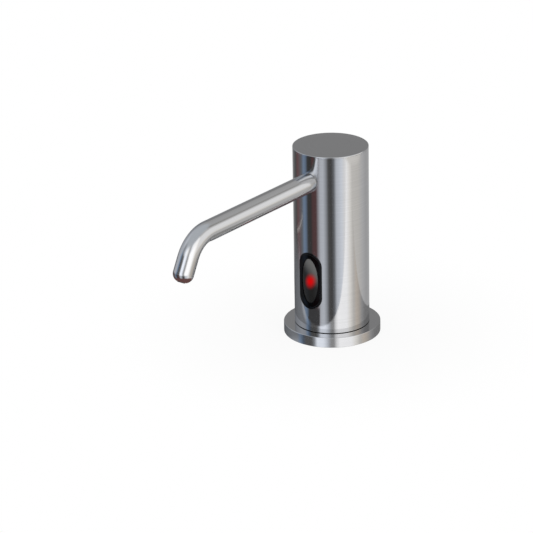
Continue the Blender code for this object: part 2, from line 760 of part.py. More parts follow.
def build_deck_clamp():
    bore = shank_radius + SEAT_GAP
    washer_radius = CLAMP_WASHER_DIAMETER / 2
    rubber_top = -DECK_THICKNESS
    rubber_low = rubber_top - DECK_WASHER_THICKNESS
    steel_top = rubber_low - SEAT_GAP
    steel_low = steel_top - CLAMP_WASHER_THICKNESS
    nut_top = steel_low - SEAT_GAP
    for name, low, top, finish in (
        ("deck_washer", rubber_low, rubber_top, RUBBER),
        ("clamp_washer", steel_low, steel_top, ZINC_STEEL),
    ):
        turned(name, [(bore, low), (washer_radius, low), (washer_radius, top), (bore, top)], finish)
    nut = prism("mounting_nut", hexagon(NUT_WIDTH), nut_top - NUT_THICKNESS, nut_top, BRASS)
    nut_bore = around(shank_radius, SEAT_GAP, LARGE_SEGMENTS)
    low = nut_top - NUT_THICKNESS - CUT_OVERRUN
    cut(nut, rod("mounting_nut_bore", nut_bore, low, nut_top + CUT_OVERRUN, segments=LARGE_SEGMENTS))


def build_end_plug():
    """The plug in the shank's lower end, with the supply hose's barb and the lead's grommet."""
    flange_top = shank_bottom - SEAT_GAP
    flange_low = flange_top - END_PLUG_FLANGE
    body = SHANK_BORE / 2 - SEAT_GAP
    top = shank_bottom + END_PLUG_DEPTH
    plug = turned(
        "shank_end_plug",
        [
            (0, flange_low),
            (END_PLUG_DIAMETER / 2, flange_low),
            (END_PLUG_DIAMETER / 2, flange_top),
            (body, flange_top),
            (body, top),
            (0, top),
        ],
        BLACK_PLASTIC,
        MEDIUM_SEGMENTS,
    )
    place = Matrix.Translation((0, inlet_y, 0))
    bore = BARB_BORE / 2
    barb_low = flange_low - SUPPLY_BARB_LENGTH
    outer = SUPPLY_BARB_DIAMETER / 2
    outside = barb_profile(0, outer, SUPPLY_BARB_RIDGE, barb_low, flange_low + END_PLUG_FLANGE / 2)
    join(plug, turned("supply_barb_outside", outside, None, SMALL_SEGMENTS, place))
    join(plug, rod("supply_barb_inside", barb_radius, flange_top, top + BARB_LENGTH, place=place))
    cut(plug, rod("supply_bore", bore, barb_low - CUT_OVERRUN, top + BARB_LENGTH + CUT_OVERRUN, place=place))

    place = Matrix.Translation((0, -GROMMET_OFFSET, 0))
    grommet_radius = GROMMET_DIAMETER / 2
    hole = around(grommet_radius, FIT_GAP, SMALL_SEGMENTS)
    cut(plug, rod("grommet_hole", hole, flange_low - CUT_OVERRUN, top + CUT_OVERRUN, place=place))
    lead_hole = around(lead_radius, FIT_GAP, SMALL_SEGMENTS)
    lip = grommet_radius + GROMMET_LIP
    turned(
        "lead_grommet",
        [
            (lead_hole, flange_low - SEAT_GAP - GROMMET_LIP),
            (lip, flange_low - SEAT_GAP - GROMMET_LIP),
            (lip, flange_low - SEAT_GAP),
            (grommet_radius, flange_low - SEAT_GAP),
            (grommet_radius, top),
            (lead_hole, top),
        ],
        RUBBER,
        SMALL_SEGMENTS,
        place,
    )


# Body tube and cap
def build_body():
    body = turned(
        "body_shell",
        [
            (bore_radius, plug_bottom),
            (body_radius, plug_bottom),
            (body_radius, cap_seat),
            (bore_radius, cap_seat),
        ],
        BRUSHED_STEEL,
    )
    outside = body_radius + CUT_OVERRUN
    window = stadium(neck_width + 2 * SEAT_GAP, neck_height + 2 * SEAT_GAP, MEDIUM_SEGMENTS)
    cut(body, prism("body_window", window, 0, outside, None, WINDOW_PLACE))
    hole = around(stud_radius, SEAT_GAP, MEDIUM_SEGMENTS)
    cut(body, rod("body_spout_hole", hole, 0, outside, segments=MEDIUM_SEGMENTS, place=SPOUT_PLACE))
    screw_place = Matrix.Translation((0, 0, (plug_bottom + plug_top) / 2)) @ FACE_BACK
    hole = around(SET_SCREW_DIAMETER / 2, SEAT_GAP, SMALL_SEGMENTS)
    cut(body, rod("body_set_screw_hole", hole, 0, outside, place=screw_place))


def build_cap():
    spigot = bore_radius - SEAT_GAP
    spigot_low = cap_rim_low - CAP_SPIGOT_LENGTH
    groove_middle = cap_rim_low - CAP_SPIGOT_LENGTH / 2
    groove_high = groove_middle + CAP_RING_GROOVE_WIDTH / 2
    groove_low = groove_middle - CAP_RING_GROOVE_WIDTH / 2
    groove_radius = spigot - CAP_RING_GROOVE_DEPTH
    plate_low = TOTAL_HEIGHT - CAP_PLATE_THICKNESS
    turned(
        "top_cap",
        [
            (0, plate_low),
            (spigot - CAP_SPIGOT_WALL, plate_low),
            (spigot - CAP_SPIGOT_WALL, spigot_low),
            (spigot, spigot_low),
            (spigot, groove_low),
            (groove_radius, groove_low),
            (groove_radius, groove_high),
            (spigot, groove_high),
            (spigot, cap_rim_low),
            (body_radius, cap_rim_low),
            (body_radius, TOTAL_HEIGHT - CAP_CHAMFER),
            (body_radius - CAP_CHAMFER, TOTAL_HEIGHT),
            (0, TOTAL_HEIGHT),
        ],
        BRUSHED_STEEL,
    )
    seal_ring("cap_ring", (groove_radius + bore_radius) / 2, CAP_RING_SECTION, groove_middle)


# Spout
def spout_centreline(distance):
    """The centre and the direction of the spout at a distance along it from the body's axis."""
    bend_length = SPOUT_BEND_RADIUS * SPOUT_BEND_ANGLE
    turn = min(max(distance - SPOUT_STRAIGHT_REACH, 0) / SPOUT_BEND_RADIUS, SPOUT_BEND_ANGLE)
    reach = min(distance, SPOUT_STRAIGHT_REACH) + SPOUT_BEND_RADIUS * math.sin(turn)
    drop = SPOUT_BEND_RADIUS * (1 - math.cos(turn))
    direction = Vector((0, -math.cos(turn), -math.sin(turn)))
    centre = Vector((0, -reach, spout_height - drop))
    return centre + direction * max(distance - SPOUT_STRAIGHT_REACH - bend_length, 0), direction


def build_spout():
    bend_length = SPOUT_BEND_RADIUS * SPOUT_BEND_ANGLE
    bend_end = SPOUT_STRAIGHT_REACH + bend_length
    tip = bend_end + SPOUT_END_LENGTH
    stations = []

    def station(distance, outer, bore, squeeze=0):
        centre, direction = spout_centreline(distance)
        stations.append((centre, direction, outer, bore, squeeze))

    station(0, spout_radius, spout_bore_radius)
    for step in range(SPOUT_BEND_STEPS + 1):
        share = step / SPOUT_BEND_STEPS
        squeeze = SPOUT_BEND_FLATTENING * math.sin(math.pi * share)
        station(SPOUT_STRAIGHT_REACH + bend_length * share, spout_radius, spout_bore_radius, squeeze)
    full_angle = math.acos((nose_radius - spout_radius + SPOUT_NOSE_RADIUS) / SPOUT_NOSE_RADIUS)
    nose_start = tip - SPOUT_NOSE_RADIUS * math.sin(full_angle)
    thick_start = tip - SPOUT_NOSE_THICKNESS
    outlet = OUTLET_DIAMETER / 2
    for step in range(SPOUT_NOSE_STEPS + 1):
        angle = full_angle * step / SPOUT_NOSE_STEPS
        distance = nose_start + SPOUT_NOSE_RADIUS * math.sin(angle)
        outer = spout_radius - SPOUT_NOSE_RADIUS * (1 - math.cos(angle))
        if distance > thick_start and stations[-1][3] > outlet:
            start = max(thick_start, nose_start)
            lean = math.asin((start - nose_start) / SPOUT_NOSE_RADIUS)
            edge = spout_radius - SPOUT_NOSE_RADIUS * (1 - math.cos(lean))
            station(start, edge, spout_bore_radius)
            station(start, edge, outlet)
        station(distance, outer, spout_bore_radius if distance <= thick_start else outlet)
    spout = swept("spout_tube", stations, SPOUT_SIDES, BRUSHED_STEEL)
    low = spout_height - SPOUT_DIAMETER
    high = spout_height + SPOUT_DIAMETER
    cut(spout, rod("spout_saddle", spout_start, low, high, segments=LARGE_SEGMENTS))


def build_nozzle():
    """The outlet nozzle in the spout's nose, with a barb inside it for the soap hose."""
    tip_distance = SPOUT_STRAIGHT_REACH + SPOUT_BEND_RADIUS * SPOUT_BEND_ANGLE + SPOUT_END_LENGTH
    centre, direction = spout_centreline(tip_distance)
    place = Matrix.Translation(centre) @ direction.to_track_quat("Z", "Y").to_matrix().to_4x4()
    body = OUTLET_DIAMETER / 2 - FIT_GAP
    shoulder = -SPOUT_NOSE_THICKNESS - SEAT_GAP
    shoulder_radius = barb_radius + NOZZLE_SHOULDER
    turned(
        "outlet_nozzle",
        [
            (NOZZLE_BORE / 2, NOZZLE_STANDOUT),
            (NOZZLE_BORE / 2, shoulder - NOZZLE_SHOULDER_LENGTH - NOZZLE_BARB_LENGTH),
            (barb_radius, shoulder - NOZZLE_SHOULDER_LENGTH - NOZZLE_BARB_LENGTH),
            (barb_radius, shoulder - NOZZLE_SHOULDER_LENGTH),
            (shoulder_radius, shoulder - NOZZLE_SHOULDER_LENGTH),
            (shoulder_radius, shoulder),
            (body, shoulder),
            (body, NOZZLE_STANDOUT),
        ],
        BLACK_PLASTIC,
        MEDIUM_SEGMENTS,
        place,
    )


def build_spout_fixing():
    """The stud, the seal, the saddle washer and the nut that hold the spout to the body."""
    inner_end = spout_nut_back - STUD_STANDOUT
    outer_end = inner_end + STUD_LENGTH
    stud = rod("spout_stud", stud_radius, inner_end, outer_end, BRASS, MEDIUM_SEGMENTS, SPOUT_PLACE)
    far = outer_end + CUT_OVERRUN
    cut(stud, rod("spout_stud_bore", STUD_BORE / 2, 0, far, segments=MEDIUM_SEGMENTS, place=SPOUT_PLACE))

    hole_radius = around(stud_radius, SEAT_GAP, MEDIUM_SEGMENTS)
    seal = bore_radius - SEAT_GAP
    low = spout_height - SPOUT_WASHER_DIAMETER
    high = spout_height + SPOUT_WASHER_DIAMETER
    for name, outer, inner, back, finish in (
        ("spout_seal", seal, spout_seal_radius, 0, RUBBER),
        ("spout_washer", spout_washer_radius, 0, spout_washer_back, ZINC_STEEL),
    ):
        washer = rod(name, SPOUT_WASHER_DIAMETER / 2, back, body_radius, finish, MEDIUM_SEGMENTS, SPOUT_PLACE)
        crop(washer, rod(f"{name}_outside", outer, low, high, segments=LARGE_SEGMENTS))
        if inner:
            cut(washer, rod(f"{name}_inside", inner, low, high, segments=LARGE_SEGMENTS))
        hole = rod(f"{name}_hole", hole_radius, 0, body_radius, segments=MEDIUM_SEGMENTS, place=SPOUT_PLACE)
        cut(washer, hole)

    nut_front = spout_nut_back + SPOUT_NUT_THICKNESS
    nut = prism("spout_nut", hexagon(SPOUT_NUT_WIDTH), spout_nut_back, nut_front, BRASS, SPOUT_PLACE)
    cut(nut, rod("spout_nut_bore", hole_radius, 0, body_radius, segments=MEDIUM_SEGMENTS, place=SPOUT_PLACE))


# Sensor module in the body's front
def window_prism(name, outline, low, high, finish=None):
    """An outline in the window's plane, extruded from low to high in front of the body's axis."""
    return prism(name, outline, low, high, finish, WINDOW_PLACE)


def upright_rod(name, radius):
    """A cutter round the body's axis, as tall as the sensor module needs."""
    low = window_height - BEZEL_HEIGHT
    return rod(name, radius, low, window_height + BEZEL_HEIGHT, segments=LARGE_SEGMENTS)


def sensor_hole(name, radius, low, high, x, z):
    place = WINDOW_PLACE @ Matrix.Translation((x, z, 0))
    return rod(name, around(radius, FIT_GAP, SMALL_SEGMENTS), low, high, place=place)


def build_bezel_and_lens():
    outside = body_radius + CUT_OVERRUN
    middle = shell_gasket_radius
    pad = stadium(BEZEL_WIDTH, BEZEL_HEIGHT, MEDIUM_SEGMENTS)
    bezel = window_prism("sensor_bezel", pad, middle, outside, BLACK_GLOSS)
    crop(bezel, upright_rod("bezel_outside", bezel_radius))
    cut(bezel, upright_rod("bezel_seat", bezel_seat_radius))
    neck_top = bezel_seat_radius + BEZEL_PROUD / 2
    neck = window_prism("bezel_neck", stadium(neck_width, neck_height, MEDIUM_SEGMENTS), neck_back, outside)
    crop(neck, upright_rod("bezel_neck_end", neck_top))
    join(bezel, neck)
    opening = ellipse(
        LENS_WIDTH - 2 * LENS_LEDGE_WIDTH,
        LENS_HEIGHT - 2 * LENS_LEDGE_WIDTH,
        MEDIUM_SEGMENTS,
    )
    cut(bezel, window_prism("lens_opening", opening, 0, outside))
    ledge_front = neck_back + LENS_LEDGE_THICKNESS
    pocket = ellipse(LENS_WIDTH, LENS_HEIGHT, MEDIUM_SEGMENTS)
    cut(bezel, window_prism("lens_pocket", pocket, ledge_front, outside))
    for name, (x, z) in SENSOR_SCREWS.items():
        depth = neck_back + SENSOR_SCREW_ENGAGEMENT + SEAT_GAP
        cut(bezel, sensor_hole(f"{name}_bezel", SENSOR_SCREW_DIAMETER / 2, 0, depth, x, z))

    outline = ellipse(LENS_WIDTH - 2 * FIT_GAP, LENS_HEIGHT - 2 * FIT_GAP, MEDIUM_SEGMENTS)
    lens = window_prism("sensor_lens", outline, ledge_front + FIT_GAP, outside, DARK_LENS)
    crop(lens, upright_rod("lens_outside", bezel_radius - LENS_BELOW_BEZEL))


def build_sensor_shell():
    shell_outline = stadium(shell_width, shell_height, MEDIUM_SEGMENTS)
    gasket = window_prism("sensor_gasket", shell_outline, shell_inside, body_radius, RUBBER)
    crop(gasket, upright_rod("gasket_outside", bore_radius - SEAT_GAP))
    cut(gasket, upright_rod("gasket_inside", shell_gasket_radius))
    cavity = stadium(cavity_width, cavity_height, MEDIUM_SEGMENTS)
    cut(gasket, window_prism("gasket_hole", cavity, 0, body_radius))

    shell = window_prism("sensor_shell", shell_outline, shell_back, body_radius, BLACK_PLASTIC)
    crop(shell, upright_rod("shell_outside", shell_front_radius))
    cut(shell, window_prism("shell_cavity", cavity, shell_inside, body_radius))
    for name, (x, z) in SENSOR_SCREWS.items():
        cut(shell, sensor_hole(f"{name}_shell", SENSOR_SCREW_DIAMETER / 2, 0, body_radius, x, z))
    for name, z in (("power", -LEAD_HOLE_Z), ("motor", LEAD_HOLE_Z)):
        cut(shell, sensor_hole(f"{name}_lead_hole", lead_radius, 0, body_radius, 0, z))


def build_sensor_inside():
    """The optics block with its diodes, the board behind it, and the screws through them all."""
    outline = stadium(cavity_width - 2 * SEAT_GAP, cavity_height - 2 * SEAT_GAP, MEDIUM_SEGMENTS)
    optics = window_prism("optics_block", outline, optics_back, optics_front, BLACK_PLASTIC)
    board = window_prism("sensor_board", outline, board_back, board_front, CIRCUIT_GREEN)
    for piece in (optics, board):
        for name, (x, z) in SENSOR_SCREWS.items():
            radius = SENSOR_SCREW_DIAMETER / 2
            cut(piece, sensor_hole(f"{name}_{piece.name}", radius, 0, body_radius, x, z))

    for name, z, finish in (
        ("ir_emitter", DIODE_SPACING / 2, CLEAR_DIODE),
        ("status_light", 0, RED_LIGHT),
        ("ir_receiver", -DIODE_SPACING / 2, BLACK_GLOSS),
    ):
        radius = DIODE_DIAMETER / 2
        cut(optics, sensor_hole(f"{name}_hole", radius, 0, body_radius, 0, z))
        foot = optics_back - SEAT_GAP + FIT_GAP
        pocket_top = foot + DIODE_FOOT_HEIGHT + FIT_GAP
        cut(optics, sensor_hole(f"{name}_pocket", radius + DIODE_RIM, 0, pocket_top, 0, z))
        dome = [
            (radius * math.cos(angle), foot + DIODE_LENGTH - radius + radius * math.sin(angle))
            for angle in (math.pi / 2 * step / DOME_STEPS for step in range(DOME_STEPS))
        ]
        profile = [
            (0, foot),
            (radius + DIODE_RIM, foot),
            (radius + DIODE_RIM, foot + DIODE_FOOT_HEIGHT),
            (radius, foot + DIODE_FOOT_HEIGHT),
            *dome,
            (0, foot + DIODE_LENGTH),
        ]
        place = WINDOW_PLACE @ Matrix.Translation((0, z, 0))
        turned(name, profile, finish, SMALL_SEGMENTS, place)

    chip = rounded_box(CHIP_SIZE / 2, CHIP_SIZE / 2, CHIP_CORNER)
    chip_front = board_back - FIT_GAP
    window_prism("controller_chip", chip, chip_front - CHIP_THICKNESS, chip_front, BLACK_PLASTIC)

    length = neck_back + SENSOR_SCREW_ENGAGEMENT - shell_back + SEAT_GAP
    for name, (x, z) in SENSOR_SCREWS.items():
        socket_screw(
            name,
            SENSOR_SCREW_DIAMETER,
            SENSOR_SCREW_HEAD,
            SENSOR_SCREW_HEAD_THICKNESS,
            length,
            SENSOR_SCREW_KEY,
            ZINC_STEEL,
            WINDOW_PLACE @ Matrix.Translation((x, z, shell_back - SEAT_GAP)),
        )


# Gear pump
def gear_outline(turn):
    """The outline of the pump's involute gear, turned by the given angle."""
    base = gear_base_radius

    def involute(radius):
        pressure = math.acos(min(base / radius, 1))
        return math.tan(pressure) - pressure

    thickness = math.pi * GEAR_MODULE / 2 - GEAR_BACKLASH / 2
    half_angle = thickness / 2 / gear_pitch_radius + involute(gear_pitch_radius)
    radii = [
        base + (gear_tip_radius - base) * step / (GEAR_FLANK_POINTS - 1) for step in range(GEAR_FLANK_POINTS)
    ]
    flank = [(gear_root_radius, half_angle)] + [(radius, half_angle - involute(radius)) for radius in radii]
    outline = []
    for tooth in range(GEAR_TEETH):
        middle = turn + math.tau * tooth / GEAR_TEETH
        points = [(radius, middle - angle) for radius, angle in flank]
        points += [(radius, middle + angle) for radius, angle in reversed(flank)]
        outline += [(radius * math.cos(angle), radius * math.sin(angle)) for radius, angle in points]
    return outline


def build_gear(name, axis, turn, bore):
    """A gear of the pump, with its origin on its own axis."""
    origin = (*axis, gear_bottom)
    place = Matrix.Translation((*axis, 0))
    gear = prism(name, gear_outline(turn), gear_bottom, gear_top, GREY_PLASTIC, place, origin)
    low = gear_bottom - CUT_OVERRUN
    cut(gear, rod(f"{name}_bore", bore, low, gear_top + CUT_OVERRUN, place=place))


def build_pump_body():
    outline = rounded_box(PUMP_HALF_WIDTH, PUMP_HALF_DEPTH, PUMP_CORNER_RADIUS, (0, PUMP_OFFSET))
    body = prism("pump_body", outline, pump_bottom, pump_top, BLACK_PLASTIC)
    low = pump_bottom - CUT_OVERRUN
    for name, (x, y) in (("drive", drive_axis), ("driven", driven_axis)):
        radius = around(chamber_radius, 0, MEDIUM_SEGMENTS)
        place = Matrix.Translation((x, y, 0))
        cut(body, rod(f"{name}_chamber", radius, low, chamber_top, segments=MEDIUM_SEGMENTS, place=place))
    for name, y in (("inlet", inlet_y), ("outlet", outlet_y)):
        place = Matrix.Translation((0, y, 0))
        cut(body, rod(f"{name}_port", PORT_WIDTH / 2, low, chamber_top, place=place))

    drive_place = Matrix.Translation((*drive_axis, 0))
    shaft_hole = around(shaft_radius, SHAFT_CLEARANCE, SMALL_SEGMENTS)
    high = pump_top + CUT_OVERRUN
    cut(body, rod("pump_shaft_hole", shaft_hole, gear_top, high, place=drive_place))
    pocket = around(SEAL_DIAMETER / 2, FIT_GAP, MEDIUM_SEGMENTS)
    pocket_low = seal_pocket_bottom
    cut(body, rod("seal_pocket", pocket, pocket_low, high, segments=MEDIUM_SEGMENTS, place=drive_place))
    pin_hole = around(shaft_radius, FIT_GAP, SMALL_SEGMENTS)
    pin_top = chamber_top + PIN_SEAT_DEPTH + SEAT_GAP
    cut(body, rod("pin_hole", pin_hole, gear_top, pin_top, place=Matrix.Translation((*driven_axis, 0))))
    for name, (x, y) in PUMP_COVER_SCREWS.items():
        hole = around(PUMP_SCREW_DIAMETER / 2, FIT_GAP, SMALL_SEGMENTS)
        top = pump_bottom + PUMP_SCREW_ENGAGEMENT + SEAT_GAP
        cut(body, rod(f"{name}_body", hole, low, top, place=Matrix.Translation((x, y, 0))))

    start = Vector((0, outlet_y, channel_height))
    end = Vector((OUTLET_BARB_X, PUMP_OFFSET, channel_height))
    across = Matrix.Translation(start) @ (end - start).to_track_quat("Z", "Y").to_matrix().to_4x4()
    channel = PUMP_CHANNEL_DIAMETER / 2
    port_place = Matrix.Translation((0, outlet_y, 0))
    barb_place = Matrix.Translation((OUTLET_BARB_X, PUMP_OFFSET, 0))
    cut(body, rod("channel_rise", channel, gear_top, channel_height, place=port_place))
    cut(body, rod("channel_across", channel, -channel / 2, (end - start).length, place=across))
    socket = around(OUTLET_BARB_DIAMETER / 2, FIT_GAP, SMALL_SEGMENTS)
    cut(body, rod("barb_socket", socket, channel_height, high, place=barb_place))


def build_pump_cover():
    outline = rounded_box(PUMP_HALF_WIDTH, PUMP_HALF_DEPTH, PUMP_CORNER_RADIUS, (0, PUMP_OFFSET))
    cover = prism("pump_cover", outline, cover_bottom, cover_top, BLACK_PLASTIC)
    ear_half_width = PUMP_HALF_WIDTH + PUMP_EAR_LENGTH
    ears = rounded_box(ear_half_width, PUMP_EAR_HALF_DEPTH, PUMP_CORNER_RADIUS, (0, PUMP_OFFSET))
    join(cover, prism("pump_ears", ears, cover_bottom, cover_top, None))
    place = Matrix.Translation((0, inlet_y, 0))
    socket = VALVE_SOCKET_DIAMETER / 2
    chamber = VALVE_CHAMBER_DIAMETER / 2
    middle = (cover_bottom + cover_top) / 2
    join(cover, rod("valve_socket", socket, valve_bottom, middle, segments=MEDIUM_SEGMENTS, place=place))
    low = valve_bottom - CUT_OVERRUN
    cut(cover, rod("valve_chamber", chamber, low, cover_bottom, segments=MEDIUM_SEGMENTS, place=place))
    high = cover_top + CUT_OVERRUN
    cut(cover, rod("cover_port", PORT_WIDTH / 2, low, high, place=place))

    pin_hole = around(shaft_radius, FIT_GAP, SMALL_SEGMENTS)
    pin_low = cover_top - PIN_SEAT_DEPTH - SEAT_GAP
    cut(cover, rod("cover_pin_hole", pin_hole, pin_low, high, place=Matrix.Translation((*driven_axis, 0))))
    shaft_hole = around(shaft_radius, SHAFT_CLEARANCE, SMALL_SEGMENTS)
    cut(cover, rod("cover_shaft_hole", shaft_hole, pin_low, high, place=Matrix.Translation((*drive_axis, 0))))
    head = around(PUMP_SCREW_HEAD / 2, FIT_GAP, SMALL_SEGMENTS)
    hole = around(PUMP_SCREW_DIAMETER / 2, FIT_GAP, SMALL_SEGMENTS)
    head_space = PUMP_SCREW_HEAD_THICKNESS + SEAT_GAP
    for screws, head_low, head_high in (
        (PUMP_COVER_SCREWS, low, cover_bottom + head_space),
        (PUMP_EAR_SCREWS, cover_top - head_space, high),
    ):
        for name, (x, y) in screws.items():
            screw_place = Matrix.Translation((x, y, 0))
            cut(cover, rod(f"{name}_cover", hole, low, high, place=screw_place))
            cut(cover, rod(f"{name}_head_space", head, head_low, head_high, place=screw_place))


def build_pump_inside():
    pin = gear_bottom - PIN_SEAT_DEPTH - CHAMBER_CLEARANCE
    pin_place = Matrix.Translation((*driven_axis, 0))
    rod("idler_pin", shaft_radius, pin, chamber_top + PIN_SEAT_DEPTH, ZINC_STEEL, place=pin_place)
    build_gear("drive_gear", drive_axis, 0, around(shaft_radius, FIT_GAP, SMALL_SEGMENTS))
    half_tooth = math.pi / GEAR_TEETH
    build_gear("driven_gear", driven_axis, half_tooth, around(shaft_radius, SHAFT_CLEARANCE, SMALL_SEGMENTS))
    seal_low = seal_pocket_bottom + SEAT_GAP
    seal_high = seal_low + SEAL_THICKNESS - SEAT_GAP
    seal_bore = around(shaft_radius, SHAFT_CLEARANCE, SMALL_SEGMENTS)
    seal_radius = SEAL_DIAMETER / 2
    turned(
        "shaft_seal",
        [(seal_bore, seal_low), (seal_radius, seal_low), (seal_radius, seal_high), (seal_bore, seal_high)],
        RUBBER,
        SMALL_SEGMENTS,
        Matrix.Translation((*drive_axis, 0)),
    )
    barb_low = pump_top - OUTLET_BARB_DEPTH + SEAT_GAP
    spigot = OUTLET_BARB_DIAMETER / 2
    barb_base = pump_top + SEAT_GAP
    turned(
        "outlet_barb",
        [
            (BARB_BORE / 2, barb_low),
            (spigot, barb_low),
            (spigot, barb_base),
            (barb_radius, barb_base),
            (barb_radius, barb_base + BARB_LENGTH),
            (BARB_BORE / 2, barb_base + BARB_LENGTH),
        ],
        WHITE_PLASTIC,
        SMALL_SEGMENTS,
        Matrix.Translation((OUTLET_BARB_X, PUMP_OFFSET, 0)),
    )


def build_pump_screws():
    length = PUMP_COVER_THICKNESS - PUMP_SCREW_HEAD_THICKNESS + PUMP_SCREW_ENGAGEMENT
    head = (PUMP_SCREW_HEAD, PUMP_SCREW_HEAD_THICKNESS)
    sizes = (PUMP_SCREW_DIAMETER, *head, length, PUMP_SCREW_KEY, ZINC_STEEL)
    for name, (x, y) in PUMP_COVER_SCREWS.items():
        place = Matrix.Translation((x, y, cover_bottom + PUMP_SCREW_HEAD_THICKNESS))
        socket_screw(name, *sizes, place)
    for name, (x, y) in PUMP_EAR_SCREWS.items():
        height = cover_top - PUMP_SCREW_HEAD_THICKNESS
        place = Matrix.Translation((x, y, height)) @ Matrix.Rotation(math.pi, 4, "X")
        socket_screw(name, *sizes, place)


# Check valve below the pump
def build_check_valve():
    place = Matrix.Translation((0, inlet_y, 0))
    bore = BARB_BORE / 2
    body = VALVE_CHAMBER_DIAMETER / 2 - FIT_GAP
    ball = VALVE_BALL_DIAMETER / 2
    mouth = ball * VALVE_MOUTH_SHARE
    flange_top = valve_bottom - SEAT_GAP
    flange_low = flange_top - VALVE_SEAT_FLANGE
    turned(
        "valve_seat",
        [
            (bore, supply_barb_bottom),
            (barb_radius, supply_barb_bottom),
            (barb_radius, flange_low),
            (VALVE_SOCKET_DIAMETER / 2, flange_low),
            (VALVE_SOCKET_DIAMETER / 2, flange_top),
            (body, flange_top),
            (body, valve_seat_top),
            (mouth, valve_seat_top),
            (bore, valve_seat_top - (mouth - bore)),
        ],
        WHITE_PLASTIC,
        MEDIUM_SEGMENTS,
        place,
    )
    contact_drop = mouth - ball * math.cos(math.pi / 4)
    centre = valve_seat_top - contact_drop + ball * math.sin(math.pi / 4) + FIT_GAP * math.sqrt(2)
    half_turn = [math.pi * step / (2 * DOME_STEPS) - math.pi / 2 for step in range(2 * DOME_STEPS + 1)]
    profile = [(0, centre - ball)]
    profile += [(ball * math.cos(angle), centre + ball * math.sin(angle)) for angle in half_turn[1:-1]]
    profile += [(0, centre + ball)]
    turned("valve_ball", profile, POLISHED_STEEL, SMALL_SEGMENTS, place, (0, inlet_y, centre))
    build_spring(centre + ball + FIT_GAP, cover_bottom - FIT_GAP)


def build_spring(low, high):
    """The coil spring between the ball and the cover, as one unbroken wire."""
    bm = bmesh.new()
    wire = SPRING_WIRE / 2
    coil = SPRING_DIAMETER / 2 - wire
    rise = high - low - SPRING_WIRE
    rings = []
    for step in range(SPRING_TURNS * SPRING_STEPS + 1):
        angle = math.tau * step / SPRING_STEPS
        height = low + wire + rise * step / (SPRING_TURNS * SPRING_STEPS)
        ring = []
        for corner in range(SPRING_SIDES):
            round_wire = math.tau * corner / SPRING_SIDES
            radius = coil + wire * math.cos(round_wire)
            point = (
                radius * math.cos(angle),
                inlet_y + radius * math.sin(angle),
                height + wire * math.sin(round_wire),
            )
            ring.append(bm.verts.new(point))
        rings.append(ring)
    for first, second in zip(rings, rings[1:]):
        for corner in range(SPRING_SIDES):
            after = (corner + 1) % SPRING_SIDES
            bm.faces.new((first[corner], first[after], second[after], second[corner]))
    bm.faces.new(rings[0])
    bm.faces.new(reversed(rings[-1]))
    finish_mesh("valve_spring", bm, POLISHED_STEEL)


# Motor
def build_motor():
    place = Matrix.Translation((*drive_axis, 0))
    radius = MOTOR_DIAMETER / 2
    half_flat = MOTOR_FLAT_WIDTH / 2
    shaft_hole = around(shaft_radius, SHAFT_CLEARANCE, SMALL_SEGMENTS)
    outline = flattened_circle(radius, half_flat, MEDIUM_SEGMENTS)
    can = prism("motor_can", outline, motor_bottom, motor_top, ZINC_STEEL, place)
    boss_low = pump_top - MOTOR_BOSS_HEIGHT
    boss = MOTOR_BOSS_DIAMETER / 2
    middle = motor_bottom + MOTOR_WALL / 2
    join(can, rod("motor_boss", boss, boss_low, middle, segments=MEDIUM_SEGMENTS, place=place))
    inside = flattened_circle(radius - MOTOR_WALL, half_flat - MOTOR_WALL, MEDIUM_SEGMENTS)
    floor = motor_bottom + MOTOR_WALL
    cut(can, prism("motor_inside", inside, floor, motor_top + CUT_OVERRUN, None, place))
    cut(can, rod("motor_shaft_hole", shaft_hole, boss_low - CUT_OVERRUN, motor_top, place=place))

    cap_radius = radius - MOTOR_WALL - FIT_GAP
    cap_flat = half_flat - MOTOR_WALL - FIT_GAP
    cap_outline = flattened_circle(cap_radius, cap_flat, MEDIUM_SEGMENTS)
    end_cap = prism("motor_end_cap", cap_outline, end_cap_bottom, motor_top, BLACK_PLASTIC, place)
    high = motor_top + CUT_OVERRUN
    cut(end_cap, rod("end_cap_hole", shaft_hole, end_cap_bottom - CUT_OVERRUN, high, place=place))

    magnet_low = (floor + end_cap_bottom - MAGNET_HEIGHT) / 2
    armature_low = magnet_low + (MAGNET_HEIGHT - ARMATURE_HEIGHT) / 2
    magnet_outer = radius - MOTOR_WALL - FIT_GAP
    for name, facing in (("magnet_left", math.pi), ("magnet_right", 0)):
        outline = arc_band(magnet_outer - MAGNET_THICKNESS, magnet_outer, facing, MAGNET_SPREAD)
        prism(name, outline, magnet_low, magnet_low + MAGNET_HEIGHT, MAGNET_GREY, place)

    shaft_low = cover_top - PIN_SEAT_DEPTH
    shaft_high = motor_top + SHAFT_END
    origin = (*drive_axis, gear_bottom)
    rod("motor_shaft", shaft_radius, shaft_low, shaft_high, POLISHED_STEEL, place=place, origin=origin)
    shaft_fit = around(shaft_radius, FIT_GAP, SMALL_SEGMENTS)
    armature = prism(
        "armature",
        armature_outline(),
        armature_low,
        armature_low + ARMATURE_HEIGHT,
        LAMINATION,
        place,
        origin,
    )
    cut(armature, rod("armature_bore", shaft_fit, motor_bottom, motor_top, place=place))
    commutator_low = armature_low + ARMATURE_HEIGHT + SEAT_GAP
    commutator_high = commutator_low + COMMUTATOR_HEIGHT
    commutator = COMMUTATOR_DIAMETER / 2
    turned(
        "commutator",
        [
            (shaft_fit, commutator_low),
            (commutator, commutator_low),
            (commutator, commutator_high),
            (shaft_fit, commutator_high),
        ],
        COPPER,
        SMALL_SEGMENTS,
        place,
        origin,
    )


